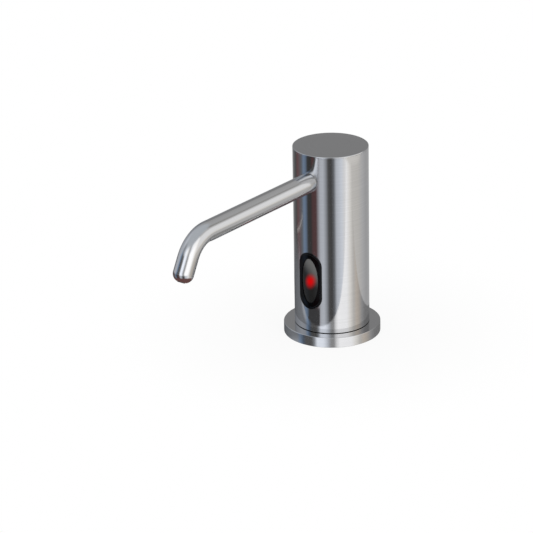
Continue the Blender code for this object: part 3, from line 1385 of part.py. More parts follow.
def arc_band(inner, outer, facing, spread):
    """The outline of a curved band."""
    angles = [facing + spread * (step / BAND_STEPS - 1 / 2) for step in range(BAND_STEPS + 1)]
    outline = [(outer * math.cos(angle), outer * math.sin(angle)) for angle in angles]
    outline += [(inner * math.cos(angle), inner * math.sin(angle)) for angle in reversed(angles)]
    return outline


def armature_outline():
    """Three T-shaped poles round a hub."""
    outer = ARMATURE_DIAMETER / 2
    under = outer - ARMATURE_HEAD_THICKNESS
    hub = ARMATURE_HUB / 2
    neck = ARMATURE_NECK / 2
    outline = []
    for pole in range(ARMATURE_POLES):
        facing = math.tau * pole / ARMATURE_POLES
        half = ARMATURE_POLE_SPREAD / 2
        points = [(hub, -math.asin(neck / hub)), (under, -math.asin(neck / under)), (under, -half)]
        points += [(outer, half * (2 * step / BAND_STEPS - 1)) for step in range(BAND_STEPS + 1)]
        points += [(under, half), (under, math.asin(neck / under)), (hub, math.asin(neck / hub))]
        outline += [(r * math.cos(facing + a), r * math.sin(facing + a)) for r, a in points]
    return outline


# Hoses and leads
def build_hoses():
    hose_top = valve_bottom - 2 * SEAT_GAP - VALVE_SEAT_FLANGE
    hose_low = shank_bottom + END_PLUG_DEPTH + SEAT_GAP
    hose("supply_hose", [Vector((0, inlet_y, hose_low)), Vector((0, inlet_y, hose_top))], CLEAR_HOSE)

    start = pump_top + 2 * SEAT_GAP
    room = spout_height - motor_top
    bend = [(OUTLET_BARB_X * x, PUMP_OFFSET * y, motor_top + room * z) for x, y, z in SOAP_HOSE_SHARES]
    route = smooth_route(
        [
            (OUTLET_BARB_X, PUMP_OFFSET, start),
            (OUTLET_BARB_X, PUMP_OFFSET, start + 2 * BARB_LENGTH),
            (OUTLET_BARB_X, PUMP_OFFSET, motor_top),
            *bend,
            (0, -spout_nut_back + STUD_STANDOUT, spout_height),
            (0, -spout_start, spout_height),
        ],
        HOSE_STEPS,
    )
    tip = SPOUT_STRAIGHT_REACH + SPOUT_BEND_RADIUS * SPOUT_BEND_ANGLE + SPOUT_END_LENGTH
    end = tip - SPOUT_NOSE_THICKNESS - 2 * SEAT_GAP - NOZZLE_SHOULDER_LENGTH
    bend_start = SPOUT_STRAIGHT_REACH
    route.append(spout_centreline(bend_start)[0])
    turns = SPOUT_BEND_STEPS // 2
    for step in range(1, turns + 1):
        route.append(spout_centreline(bend_start + SPOUT_BEND_RADIUS * SPOUT_BEND_ANGLE * step / turns)[0])
    route.append(spout_centreline(end)[0])
    hose("soap_hose", route, CLEAR_HOSE)


def build_leads():
    low = shank_bottom - SEAT_GAP - END_PLUG_FLANGE
    board = -board_back + SEAT_GAP
    behind = -shell_back + 2 * lead_radius
    power_z = window_height - LEAD_HOLE_Z
    rise = (-GROMMET_OFFSET + behind) / 2
    power_route = [
        (0, -GROMMET_OFFSET, low),
        (0, -GROMMET_OFFSET, shank_bottom / 2),
        (0, -GROMMET_OFFSET, 0),
        (0, rise, plug_top),
        (0, behind, power_z - 2 * LEAD_DIAMETER),
        (0, behind - lead_radius / 2, power_z - LEAD_DIAMETER / 2),
        (0, -shell_back - SEAT_GAP, power_z),
        (0, board, power_z),
    ]
    lead("power_lead", smooth_route(power_route, LEAD_STEPS), BLACK_PLASTIC)
    motor_z = window_height + LEAD_HOLE_Z
    motor_x, motor_y = drive_axis
    motor_route = [
        (0, board, motor_z),
        (0, -shell_back + lead_radius / 2, motor_z),
        (motor_x / 5, -shell_back + LEAD_DIAMETER, motor_z + LEAD_DIAMETER / 2),
        (motor_x / 2, -shell_back + 1.5 * LEAD_DIAMETER, motor_z + 2 * LEAD_DIAMETER),
        (motor_x, -shell_back + 2 * LEAD_DIAMETER, motor_top + LEAD_DIAMETER),
        (motor_x, motor_y - MOTOR_FLAT_WIDTH / 2, motor_top + 1.5 * LEAD_DIAMETER),
        (motor_x, motor_y - MOTOR_FLAT_WIDTH / 3, motor_top + LEAD_DIAMETER),
        (motor_x, motor_y - MOTOR_FLAT_WIDTH / 3, motor_top + SEAT_GAP),
    ]
    lead("motor_lead", smooth_route(motor_route, LEAD_STEPS), BLACK_PLASTIC)


def main():
    for made in list(bpy.data.objects):
        bpy.data.objects.remove(made)
    build_flange()
    build_plug_and_shank()
    build_deck_clamp()
    build_end_plug()
    build_body()
    build_cap()
    build_spout()
    build_nozzle()
    build_spout_fixing()
    build_bezel_and_lens()
    build_sensor_shell()
    build_sensor_inside()
    build_pump_body()
    build_pump_cover()
    build_pump_inside()
    build_pump_screws()
    build_check_valve()
    build_motor()
    build_hoses()
    build_leads()


main()
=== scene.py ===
"""Looks of a deck-mounted automatic soap dispenser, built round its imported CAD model.

Frame: metres, +Z is up, the origin is on the body's axis in the plane of the deck, and the spout points
along -Y. The visible pieces are modelled finer here than in the CAD, in the same places. The inner pieces
stay as the CAD has them and get their finishes here.
"""

import json
import logging
import math
from collections.abc import Callable, Iterable, Sequence
from dataclasses import dataclass, field
from enum import Enum
from typing import Any

import bmesh
import bpy
from mathutils import Matrix, Vector


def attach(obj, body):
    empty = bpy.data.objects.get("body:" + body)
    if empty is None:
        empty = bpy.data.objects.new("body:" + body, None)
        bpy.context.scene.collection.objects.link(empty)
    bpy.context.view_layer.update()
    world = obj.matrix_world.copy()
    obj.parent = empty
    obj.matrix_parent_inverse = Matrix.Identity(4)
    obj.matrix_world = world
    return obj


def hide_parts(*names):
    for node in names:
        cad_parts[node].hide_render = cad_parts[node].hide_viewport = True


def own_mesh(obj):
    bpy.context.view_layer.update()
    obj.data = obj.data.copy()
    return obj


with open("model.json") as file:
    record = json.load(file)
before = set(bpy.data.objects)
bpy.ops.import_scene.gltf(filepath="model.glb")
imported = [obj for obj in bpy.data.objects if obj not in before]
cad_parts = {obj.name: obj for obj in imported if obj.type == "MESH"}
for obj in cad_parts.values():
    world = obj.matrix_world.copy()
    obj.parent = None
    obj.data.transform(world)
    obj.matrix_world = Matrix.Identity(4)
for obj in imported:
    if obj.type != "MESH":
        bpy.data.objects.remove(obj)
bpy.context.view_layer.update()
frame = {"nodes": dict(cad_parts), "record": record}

LOG = logging.getLogger("soap_dispenser")
MM = 0.001
TAU = math.tau

# Points closer than this are one point, and faces that meet at more than this angle meet in a sharp edge
WELD = 0.0005 * MM
FLAT_TURN = math.radians(35.0)

# A facet whose normal points away from the axis by more than this share lies on the curved wall of a tube
CURVED_SHARE = 0.95

# Facets round a large, a middling and a small circle, and across the rounding of an edge
FINE_STEPS = 192
ROUND_STEPS = 96
SMALL_STEPS = 48
ROUNDING_STEPS = 3

# Where pieces of different sub-assemblies meet
COLUMN_RADIUS = 24.0 * MM
SPOUT_HEIGHT = 107.3 * MM
WINDOW_HEIGHT = 41.2 * MM
SUPPLY_Y = 1.694 * MM

BLACK = (0.0, 0.0, 0.0, 1.0)
WHITE = (1.0, 1.0, 1.0, 1.0)

Colour = tuple[float, float, float]
Profile = Sequence[tuple[float, ...]]
Place = Callable[[float], Vector]


class Body(Enum):
    """The bodies that pieces move with."""

    DISPENSER = "dispenser"
    CAP = "cap"
    CLAMP = "clamp"
    NUT = "nut"


class Slot(Enum):
    """The record's material slots."""

    BRUSHED_STEEL = "brushed_steel"
    SPOUT_STEEL = "spout_steel"
    ZINC_STEEL = "zinc_steel"
    POLISHED_STEEL = "polished_steel"
    BRASS = "brass"
    COPPER = "copper"
    BLACK_GLOSS = "black_gloss"
    DARK_LENS = "dark_lens"
    BLACK_PLASTIC = "black_plastic"
    GREY_PLASTIC = "grey_plastic"
    WHITE_PLASTIC = "white_plastic"
    RUBBER = "rubber"
    CLEAR_HOSE = "clear_hose"
    CIRCUIT_BOARD = "circuit_board"
    MAGNET = "magnet"
    LAMINATION = "lamination"
    RED_LIGHT = "red_light"
    CLEAR_DIODE = "clear_diode"


class Grain(Enum):
    """How a finish's fine marks run over a piece."""

    TURNED = "turned_grain"
    DRAWN = "drawn_grain"
    MOULDED = "moulded_grain"


class Joinery(Enum):
    """How a mesh is worked on with others."""

    CUT = "DIFFERENCE"
    JOIN = "UNION"
    CROP = "INTERSECT"


# Materials
class Graph:
    """A node tree with short calls that add nodes and join them."""

    def __init__(self, tree: bpy.types.NodeTree) -> None:
        """Takes a tree and empties it.

        Args:
            tree: The node tree to fill.
        """
        self.tree = tree
        tree.nodes.clear()

    def add(self, kind: str, sockets: dict[Any, Any] | None = None, **settings: Any) -> bpy.types.Node:
        """Adds a node, with its settings and its input values or links.

        Args:
            kind: The node's type name.
            sockets: Input name or number to a value, or to another node's output.
            **settings: The node's own properties.

        Returns:
            The new node.
        """
        node = self.tree.nodes.new(kind)
        for key, value in settings.items():
            setattr(node, key, value)
        for key, value in (sockets or {}).items():
            if isinstance(value, bpy.types.NodeSocket):
                self.tree.links.new(value, node.inputs[key])
            else:
                node.inputs[key].default_value = value
        return node

    def maths(self, operation: str, *values: Any, clamp: bool = False) -> bpy.types.NodeSocket:
        """Adds a Math node.

        Args:
            operation: Its operation.
            *values: Its inputs, as numbers or outputs.
            clamp: Whether the result is kept between 0 and 1.

        Returns:
            Its output.
        """
        node = self.add("ShaderNodeMath", dict(enumerate(values)), operation=operation, use_clamp=clamp)
        return node.outputs[0]

    def fade(self, value: Any, start: float, end: float) -> bpy.types.NodeSocket:
        """A smooth step from 0 at start to 1 at end.

        Args:
            value: The output that is measured.
            start: Where the step begins.
            end: Where it is complete.

        Returns:
            The step's output.
        """
        node = self.add(
            "ShaderNodeMapRange",
            {"Value": value, "From Min": start, "From Max": end},
            interpolation_type="SMOOTHSTEP",
        )
        return node.outputs["Result"]

    def blend(self, share: Any, first: Any, second: Any) -> bpy.types.NodeSocket:
        """Mixes two colours.

        Args:
            share: How much of the second is taken.
            first: The first colour.
            second: The second colour.

        Returns:
            The mixed colour's output.
        """
        node = self.add("ShaderNodeMix", {0: share, 6: first, 7: second}, data_type="RGBA")
        return node.outputs[2]

    def layer(self, share: Any, first: bpy.types.Node, second: bpy.types.Node) -> bpy.types.Node:
        """Mixes two shaders, where the share says how much of the second is taken."""
        return self.add("ShaderNodeMixShader", {0: share, 1: first.outputs[0], 2: second.outputs[0]})

    def lit(self, level: Any) -> None:
        """Ends a material's nodes with a surface that only gives off light.

        Args:
            level: The light's colour, where 1 is white.
        """
        glow = self.add("ShaderNodeEmission", {"Color": level, "Strength": 1.0})
        self.add("ShaderNodeOutputMaterial", {"Surface": glow.outputs[0]})


def new_material(name: str) -> tuple[bpy.types.Material, Graph]:
    """Makes a material with no nodes yet.

    Args:
        name: Its name.

    Returns:
        The material and its node tree.
    """
    made = bpy.data.materials.new(name)
    made.use_nodes = True
    return made, Graph(made.node_tree)


class GrainLibrary:
    """The shader node groups that the finishes share, each built once."""

    INPUTS = (
        ("Vector", "NodeSocketVector", (0.0, 0.0, 0.0)),
        ("Colour", "NodeSocketColor", (0.8, 0.8, 0.8, 1.0)),
        ("Depth", "NodeSocketFloat", 0.1),
        ("Roughness", "NodeSocketFloat", 0.3),
        ("Spread", "NodeSocketFloat", 0.1),
        ("Fineness", "NodeSocketFloat", 1000.0),
        ("Stretch", "NodeSocketFloat", 20.0),
    )
    OUTPUTS = (
        ("Colour", "NodeSocketColor"),
        ("Roughness", "NodeSocketFloat"),
        ("Height", "NodeSocketFloat"),
    )

    COARSE_SCALE = 0.23
    COARSE_SHARE = 0.8
    SMALL_SHARE = 1.2

    def __init__(self) -> None:
        """Starts with no groups built."""
        self.built: dict[Grain, bpy.types.NodeTree] = {}

    def group(self, grain: Grain) -> bpy.types.NodeTree:
        """The group of a grain, made when it is first asked for.

        Args:
            grain: Which grain.

        Returns:
            Its node tree.
        """
        if grain not in self.built:
            self.built[grain] = self._make(grain)
        return self.built[grain]

    def _make(self, grain: Grain) -> bpy.types.NodeTree:
        """Builds a group: two sizes of noise, laid as the grain runs, vary colour, roughness and height.

        Args:
            grain: Which grain.

        Returns:
            The new node tree.
        """
        tree = bpy.data.node_groups.new(grain.value, "ShaderNodeTree")
        for name, kind, value in self.INPUTS:
            tree.interface.new_socket(name, in_out="INPUT", socket_type=kind).default_value = value
        for name, kind in self.OUTPUTS:
            tree.interface.new_socket(name, in_out="OUTPUT", socket_type=kind)
        graph = Graph(tree)
        given = graph.add("NodeGroupInput").outputs
        laid = self._lay(graph, grain, given)
        small = graph.add("ShaderNodeTexNoise", {"Vector": laid, "Scale": 1.0, "Detail": 3.0})
        coarse = graph.add("ShaderNodeTexNoise", {"Vector": laid, "Scale": self.COARSE_SCALE, "Detail": 2.0})
        mixed = graph.maths("MULTIPLY", small.outputs[0], self.SMALL_SHARE)
        mixed = graph.maths("MULTIPLY_ADD", coarse.outputs[0], self.COARSE_SHARE, mixed)
        swing = graph.maths("SUBTRACT", mixed, (self.COARSE_SHARE + self.SMALL_SHARE) / 2)
        value = graph.maths("MULTIPLY_ADD", swing, given["Depth"], 1.0)
        toned = graph.add("ShaderNodeHueSaturation", {"Value": value, "Color": given["Colour"]})
        rough = graph.maths("MULTIPLY_ADD", swing, given["Spread"], given["Roughness"])
        graph.add("NodeGroupOutput", {"Colour": toned.outputs[0], "Roughness": rough, "Height": mixed})
        return tree

    def _lay(self, graph: Graph, grain: Grain, given: Any) -> bpy.types.NodeSocket:
        """Scales the coordinates so that noise on them runs as the grain does.

        Args:
            graph: The group's nodes.
            grain: Round the Z axis, along the piece, or the same in every direction.
            given: The group's inputs.

        Returns:
            The scaled coordinates.
        """
        apart = graph.add("ShaderNodeSeparateXYZ", {0: given["Vector"]}).outputs
        fine, stretch = given["Fineness"], given["Stretch"]
        if grain is Grain.TURNED:
            across = graph.maths("MULTIPLY", apart[0], apart[0])
            radius = graph.maths("SQRT", graph.maths("MULTIPLY_ADD", apart[1], apart[1], across))
            scales = (
                graph.maths("MULTIPLY", apart[0], stretch),
                graph.maths("MULTIPLY", apart[1], stretch),
                graph.maths("MULTIPLY", graph.maths("ADD", apart[2], radius), fine),
            )
        elif grain is Grain.DRAWN:
            scales = (
                graph.maths("MULTIPLY", apart[0], fine),
                graph.maths("MULTIPLY", apart[1], stretch),
                0.0,
            )
        else:
            scales = tuple(graph.maths("MULTIPLY", apart[axis], fine) for axis in range(3))
        return graph.add("ShaderNodeCombineXYZ", dict(enumerate(scales))).outputs[0]


GRAINS = GrainLibrary()


@dataclass(frozen=True)
class Finish:
    """A surface: its colour, how it shines and how its fine marks run."""

    slot: Slot
    colour: Colour
    roughness: float
    metallic: float = 0.0
    grain: Grain = Grain.MOULDED
    depth: float = 0.1
    spread: float = 0.08
    fineness: float = 3000.0
    stretch: float = 30.0
    relief: float = 0.01 * MM
    specular: float = 0.5
    coat: float = 0.0
    transmission: float = 0.0

    def build(self) -> bpy.types.Material:
        """Makes the material.

        Returns:
            The material, named after its slot.
        """
        made, graph = new_material(self.slot.value)
        source = graph.add("ShaderNodeTexCoord").outputs["UV" if self.grain is Grain.DRAWN else "Object"]
        values = {
            "Vector": source,
            "Colour": (*self.colour, 1.0),
            "Depth": self.depth,
            "Roughness": self.roughness,
            "Spread": self.spread,
            "Fineness": self.fineness,
            "Stretch": self.stretch,
        }
        group = graph.add("ShaderNodeGroup", values, node_tree=GRAINS.group(self.grain))
        bump = graph.add("ShaderNodeBump", {"Distance": self.relief, "Height": group.outputs["Height"]})
        shader = graph.add(
            "ShaderNodeBsdfPrincipled",
            {
                "Base Color": group.outputs["Colour"],
                "Roughness": group.outputs["Roughness"],
                "Metallic": self.metallic,
                "Specular IOR Level": self.specular,
                "Coat Weight": self.coat,
                "Transmission Weight": self.transmission,
                "Normal": bump.outputs[0],
            },
        )
        self.light_up(graph, shader)
        graph.add("ShaderNodeOutputMaterial", {"Surface": shader.outputs[0]})
        made.diffuse_color = (*self.colour, 1.0)
        return made

    def light_up(self, graph: Graph, shader: bpy.types.Node) -> None:
        """Adds what the surface gives off by itself, which is nothing on a plain finish."""


@dataclass(frozen=True)
class LensFinish(Finish):
    """The dark lens, with a painted reflection that makes it lighter towards its upper right, and the red
    light glowing through it.
    """

    glow_centre: tuple[float, float, float] = (1.1 * MM, -24.4 * MM, 41.4 * MM)
    glow_half_width: float = 5.6 * MM
    glow_half_height: float = 6.8 * MM
    glow_core: float = 0.08
    glow_lean: float = 0.24
    glow_falloff: float = 1.35
    glow_colour: Colour = (0.62, 0.001, 0.002)
    lens_middle: float = WINDOW_HEIGHT
    # The painted reflection: the lens's colour is lighter towards its upper right and darker towards its
    # lower left
    painted_sheen_height_reach: float = 13.0 * MM
    painted_sheen_side_reach: float = 12.0 * MM
    full_painted_sheen: float = 1.15
    least_painted_sheen: float = 0.1

    def light_up(self, graph: Graph, shader: bpy.types.Node) -> None:
        """Adds the round glow, which fades towards its edge, and a painted reflection, which darkens the
        lens's colour towards its lower left and leaves it lighter towards its upper right.

        Args:
            graph: The material's nodes.
            shader: Its shader.
        """
        place = graph.add("ShaderNodeTexCoord").outputs["Object"]
        sizes = (1 / self.glow_half_width, 1 / self.glow_half_width, 1 / self.glow_half_height)
        centred = graph.add(
            "ShaderNodeMapping",
            {
                "Vector": place,
                "Location": tuple(-at * size for at, size in zip(self.glow_centre, sizes)),
                "Scale": sizes,
            },
        )
        across, depth, height = graph.add("ShaderNodeSeparateXYZ", {0: centred.outputs[0]}).outputs
        height = graph.maths("MULTIPLY_ADD", across, -self.glow_lean, height)
        leant = graph.add("ShaderNodeCombineXYZ", {0: across, 1: depth, 2: height}).outputs[0]
        distance = graph.add("ShaderNodeVectorMath", {0: leant}, operation="LENGTH").outputs["Value"]
        share = graph.maths("POWER", graph.fade(distance, 1.0, self.glow_core), self.glow_falloff)
        colour = graph.blend(share, BLACK, (*self.glow_colour, 1.0))
        graph.tree.links.new(colour, shader.inputs["Emission Color"])
        shader.inputs["Emission Strength"].default_value = 1.0
        # Painted reflection: the colour fades from dark at the lower left to light at the upper right, and is
        # left out where the glow is
        across, _, height = graph.add("ShaderNodeSeparateXYZ", {0: place}).outputs
        lift = graph.maths("MULTIPLY_ADD", height, 1 / self.painted_sheen_height_reach, -self.lens_middle / self.painted_sheen_height_reach)
        lift = graph.maths("MULTIPLY_ADD", across, 1 / self.painted_sheen_side_reach, lift)
        rise = graph.fade(lift, 0.0, self.full_painted_sheen)
        rise = graph.maths("MULTIPLY_ADD", rise, 1 - self.least_painted_sheen, self.least_painted_sheen)
        rise = graph.maths("MULTIPLY", rise, graph.maths("SUBTRACT", 1.0, share))
        painted_sheen_colour = graph.blend(rise, BLACK, shader.inputs["Base Color"].links[0].from_socket)
        graph.tree.links.new(painted_sheen_colour, shader.inputs["Base Color"])


FINISHES: dict[Slot, Finish] = {
    finish.slot: finish
    for finish in (
        Finish(
            Slot.BRUSHED_STEEL, (0.58, 0.58, 0.585), roughness=0.09, metallic=1.0, grain=Grain.TURNED,
            depth=0.17, spread=0.06, fineness=5600.0, stretch=22.0, relief=0.001 * MM,
        ),
        Finish(
            Slot.SPOUT_STEEL, (0.585, 0.585, 0.585), roughness=0.14, metallic=1.0, grain=Grain.DRAWN,
            depth=0.06, spread=0.05, fineness=2500.0, stretch=20.0, relief=0.001 * MM,
        ),
        Finish(
            Slot.ZINC_STEEL, (0.62, 0.63, 0.64), roughness=0.34, metallic=1.0,
            depth=0.12, spread=0.12, fineness=900.0,
        ),
        Finish(
            Slot.POLISHED_STEEL, (0.66, 0.66, 0.68), roughness=0.1, metallic=1.0, grain=Grain.TURNED,
            depth=0.04, spread=0.03, fineness=2500.0,
        ),
        Finish(
            Slot.BRASS, (0.78, 0.57, 0.27), roughness=0.27, metallic=1.0, grain=Grain.TURNED,
            depth=0.12, spread=0.1, fineness=1800.0, stretch=20.0, relief=0.004 * MM,
        ),
        Finish(
            Slot.COPPER, (0.8, 0.42, 0.24), roughness=0.28, metallic=1.0, grain=Grain.TURNED,
            depth=0.12, spread=0.1, fineness=2500.0,
        ),
        Finish(
            Slot.BLACK_GLOSS, (0.001, 0.001, 0.0015), roughness=0.07, specular=0.26,
            spread=0.02, relief=0.0002 * MM,
        ),
        # The lens's colour is the light end of its painted reflection, which darkens it towards the lower
        # left
        LensFinish(
            Slot.DARK_LENS, (0.18, 0.18, 0.176), roughness=0.3, specular=0.22,
            spread=0.02, relief=0.0002 * MM,
        ),
        Finish(Slot.BLACK_PLASTIC, (0.022, 0.022, 0.023), roughness=0.42, depth=0.15, fineness=2200.0),
        Finish(Slot.GREY_PLASTIC, (0.35, 0.36, 0.37), roughness=0.45, depth=0.06, fineness=1800.0),
        Finish(Slot.WHITE_PLASTIC, (0.78, 0.78, 0.75), roughness=0.4, depth=0.04, fineness=1800.0),
        Finish(
            Slot.RUBBER, (0.02, 0.02, 0.02), roughness=0.75,
            depth=0.25, fineness=1500.0, relief=0.03 * MM,
        ),
        Finish(
            Slot.CLEAR_HOSE, (0.8, 0.82, 0.81), roughness=0.18, transmission=0.6,
            depth=0.04, fineness=900.0,
        ),
        Finish(
            Slot.CIRCUIT_BOARD, (0.02, 0.14, 0.05), roughness=0.35, coat=0.3,
            depth=0.3, fineness=700.0,
        ),
        Finish(
            Slot.MAGNET, (0.07, 0.07, 0.075), roughness=0.55, metallic=0.2,
            depth=0.3, fineness=2500.0, relief=0.03 * MM,
        ),
        Finish(
            Slot.LAMINATION, (0.32, 0.3, 0.28), roughness=0.4, metallic=0.9, grain=Grain.TURNED,
            depth=0.3, spread=0.15, fineness=1500.0, stretch=10.0, relief=0.02 * MM,
        ),
        Finish(Slot.RED_LIGHT, (0.7, 0.02, 0.02), roughness=0.2, transmission=0.3, depth=0.05),
        Finish(Slot.CLEAR_DIODE, (0.7, 0.72, 0.78), roughness=0.1, transmission=0.7, depth=0.03),
    )
}


class Wardrobe:
    """Makes each finish's material once and gives it to pieces."""

    def __init__(self) -> None:
        """Starts with no materials made."""
        self.made: dict[Slot, bpy.types.Material] = {}

    def material(self, slot: Slot) -> bpy.types.Material:
        """The material of a slot.

        Args:
            slot: Which finish.

        Returns:
            The material.
        """
        if slot not in self.made:
            self.made[slot] = FINISHES[slot].build()
        return self.made[slot]

    def dress_cad(self) -> None:
        """Gives every CAD node the finish of its slot in the record."""
        for part in frame["record"]["subparts"]:
            node = frame["nodes"][part["node"]]
            material = self.material(Slot(part["material_slot"]))
            node.data.materials.clear()
            node.data.materials.append(material)


WARDROBE = Wardrobe()


# Shapes
def only(kind: type, items: Iterable[Any]) -> list[Any]:
    """The items of one kind, such as the edges, among what an operator made."""
    return [item for item in items if isinstance(item, kind)]


def turn_profile(profile: Profile, steps: int, rounding_steps: int = ROUNDING_STEPS) -> bmesh.types.BMesh:
    """Spins a closed outline round Z and rounds the edges that ask for it.

    Args:
        profile: Corners of (radius, height), or of (radius, height, rounding).
        steps: Facets round the circle.
        rounding_steps: Facets across each rounding.

    Returns:
        The turned mesh.
    """
    bm = bmesh.new()
    corners = [bm.verts.new((corner[0], 0.0, corner[1])) for corner in profile]
    edges = [
        bm.edges.new(pair)
        for pair in zip(corners, corners[1:] + corners[:1])
        if pair[0].co.x > WELD or pair[1].co.x > WELD
    ]
    bmesh.ops.spin(
        bm,
        geom=corners + edges,
        cent=(0, 0, 0),
        axis=(0, 0, 1),
        angle=TAU,
        steps=steps,
        use_merge=True,
    )
    bmesh.ops.remove_doubles(bm, verts=bm.verts, dist=WELD)
    bmesh.ops.recalc_face_normals(bm, faces=bm.faces)
    for corner in profile:
        if len(corner) > 2 and corner[2]:
            round_ring(bm, corner[0], corner[1], corner[2], rounding_steps)
    return bm


def round_ring(bm: bmesh.types.BMesh, radius: float, height: float, rounding: float, steps: int) -> None:
    """Rounds the ring of edges at a radius and a height.

    Args:
        bm: The turned mesh.
        radius: The ring's radius.
        height: The ring's height.
        rounding: How far the rounding reaches.
        steps: Facets across it.
    """

    def on_ring(vertex: bmesh.types.BMVert) -> bool:
        """Whether the vertex lies on the ring."""
        return abs(vertex.co.xy.length - radius) < WELD * 2 and abs(vertex.co.z - height) < WELD * 2

    edges = [edge for edge in bm.edges if all(on_ring(vertex) for vertex in edge.verts)]
    bmesh.ops.bevel(
        bm,
        geom=edges,
        offset=rounding,
        offset_type="OFFSET",
        segments=steps,
        profile=0.5,
        affect="EDGES",
        material=-1,
        clamp_overlap=True,
    )


def prism(outline: Sequence[tuple[float, float]], low: float, high: float) -> bmesh.types.BMesh:
    """Extrudes a flat outline upwards.

    Args:
        outline: Corners of (x, y).
        low: The height of its lower face.
        high: The height of its upper face.

    Returns:
        The closed mesh.
    """
    bm = bmesh.new()
    face = bm.faces.new([bm.verts.new((x, y, low)) for x, y in outline])
    raised = only(bmesh.types.BMVert, bmesh.ops.extrude_face_region(bm, geom=[face])["geom"])
    bmesh.ops.translate(bm, verts=raised, vec=(0, 0, high - low))
    bmesh.ops.recalc_face_normals(bm, faces=bm.faces)
    return bm


def round_rod(radius: float, low: float, high: float, steps: int = SMALL_STEPS) -> bmesh.types.BMesh:
    """A plain round rod along Z, to cut or join with."""
    turns = [TAU * step / steps for step in range(steps)]
    return prism([(radius * math.cos(turn), radius * math.sin(turn)) for turn in turns], low, high)


def hexagon_rod(width: float, low: float, high: float) -> bmesh.types.BMesh:
    """A hexagonal rod along Z, of a width across its flats."""
    return round_rod(width / 2 / math.cos(math.pi / 6), low, high, 6)


def stadium_point(half_width: float, half_height: float, turn: float) -> tuple[float, float]:
    """Where a ray from the middle of an upright slot with round ends meets its outline.

    Args:
        half_width: Half the slot's width, which is also the radius of its ends.
        half_height: Half the slot's height.
        turn: The ray's angle from +X.

    Returns:
        The point's (x, z).
    """
    rise = half_height - half_width
    across, up = math.cos(turn), math.sin(turn)
    if abs(up) * half_width <= rise * abs(across):
        return math.copysign(half_width, across), half_width * up / abs(across)
    reach = rise * abs(up) + math.sqrt(half_width**2 - (rise * across) ** 2)
    return reach * across, reach * up


def boolean(bm: bmesh.types.BMesh, tools: Iterable[bmesh.types.BMesh], joinery: Joinery) -> bmesh.types.BMesh:
    """Cuts, joins or crops a mesh with others.

    Args:
        bm: The mesh that is worked on.
        tools: The meshes that work on it.
        joinery: Whether they cut, join or crop it.

    Returns:
        The result, as a new mesh.
    """
    helpers = [plain_object(f"helper_{index}", shape) for index, shape in enumerate((bm, *tools))]
    for tool in helpers[1:]:
        step = helpers[0].modifiers.new(tool.name, "BOOLEAN")
        step.operation, step.object, step.solver = joinery.value, tool, "EXACT"
    bpy.context.view_layer.update()
    result = bmesh.new()
    result.from_object(helpers[0], bpy.context.evaluated_depsgraph_get())
    for helper in helpers:
        mesh = helper.data
        bpy.data.objects.remove(helper)
        bpy.data.meshes.remove(mesh)
    bmesh.ops.remove_doubles(result, verts=result.verts, dist=WELD)
    return result


def plain_object(name: str, bm: bmesh.types.BMesh) -> bpy.types.Object:
    """Makes an object of a mesh, which is used up.

    Args:
        name: The object's name.
        bm: Its mesh.

    Returns:
        The object, at the origin.
    """
    mesh = bpy.data.meshes.new(name)
    bm.to_mesh(mesh)
    bm.free()
    made = bpy.data.objects.new(name, mesh)
    bpy.context.scene.collection.objects.link(made)
    return made


class Skin:
    """A surface grown ring by ring with extrusions. Each point of a ring knows its turn round it."""

    def __init__(self, steps: int, place: Place) -> None:
        """Starts with one ring.

        Args:
            steps: Points in each ring.
            place: Where the point at a turn goes.
        """
        self.bm = bmesh.new()
        bmesh.ops.create_circle(self.bm, segments=steps, radius=1.0)
        self.edges = list(self.bm.edges)
        self.turns = {vertex: math.atan2(vertex.co.y, vertex.co.x) for vertex in self.bm.verts}
        self.first = list(self.edges)
        self._set(place)

    def _set(self, place: Place) -> None:
        """Puts the newest ring in its place."""
        for vertex, turn in self.turns.items():
            vertex.co = place(turn)

    def grow(self, place: Place) -> None:
        """Extrudes the newest ring and puts the copy in its place.

        Args:
            place: Where the point at a turn goes.
        """
        grown = bmesh.ops.extrude_edge_only(self.bm, edges=self.edges)["geom"]
        turns = {}
        for corner in only(bmesh.types.BMVert, grown):
            neighbours = (edge.other_vert(corner) for edge in corner.link_edges)
            turns[corner] = next(self.turns[vertex] for vertex in neighbours if vertex in self.turns)
        edges = only(bmesh.types.BMEdge, grown)
        self.edges = [edge for edge in edges if all(vertex in turns for vertex in edge.verts)]
        self.turns = turns
        self._set(place)

    def close(self) -> bmesh.types.BMesh:
        """Joins the newest ring to the first one.

        Returns:
            The closed mesh, facing outwards.
        """
        bmesh.ops.bridge_loops(self.bm, edges=self.first + self.edges)
        bmesh.ops.recalc_face_normals(self.bm, faces=self.bm.faces)
        return self.bm

    def cap(self, first: bool = False) -> None:
        """Fills the newest ring, or the first one, with a face."""
        bmesh.ops.edgeloop_fill(self.bm, edges=self.first if first else self.edges)


# Pieces
@dataclass
class SubAssembly:
    """A group of pieces that are built and dressed together."""

    pieces: list[str] = field(default_factory=list, init=False)

    def place(
        self,
        name: str,
        bm: bmesh.types.BMesh,
        slot: Slot,
        body: Body,
        replaces: Sequence[str],
        even: bool = True,
    ) -> bpy.types.Object:
        """Makes a piece of a finished mesh: shades it, dresses it and ties it to its body and nodes.

        Args:
            name: The piece's name.
            bm: Its mesh, which is used up.
            slot: Its finish.
            body: The body that it moves with.
            replaces: The CAD nodes that it stands for.
            even: Whether large faces lead the shading of the roundings next to them.

        Returns:
            The piece.
        """
        piece = plain_object(name, bm)
        piece.data.shade_smooth()
        piece.data.set_sharp_from_angle(angle=FLAT_TURN)
        if even:
            shading = piece.modifiers.new("even_shading", "WEIGHTED_NORMAL")
            shading.keep_sharp = True
        piece.data.materials.append(WARDROBE.material(slot))
        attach(piece, body.value)
        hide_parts(*replaces)
        self.pieces.append(name)
        LOG.info("%s: %d faces, rides on %s", name, len(piece.data.polygons), body.value)
        return piece

    def build(self) -> None:
        """Builds every piece of the sub-assembly."""
        raise NotImplementedError


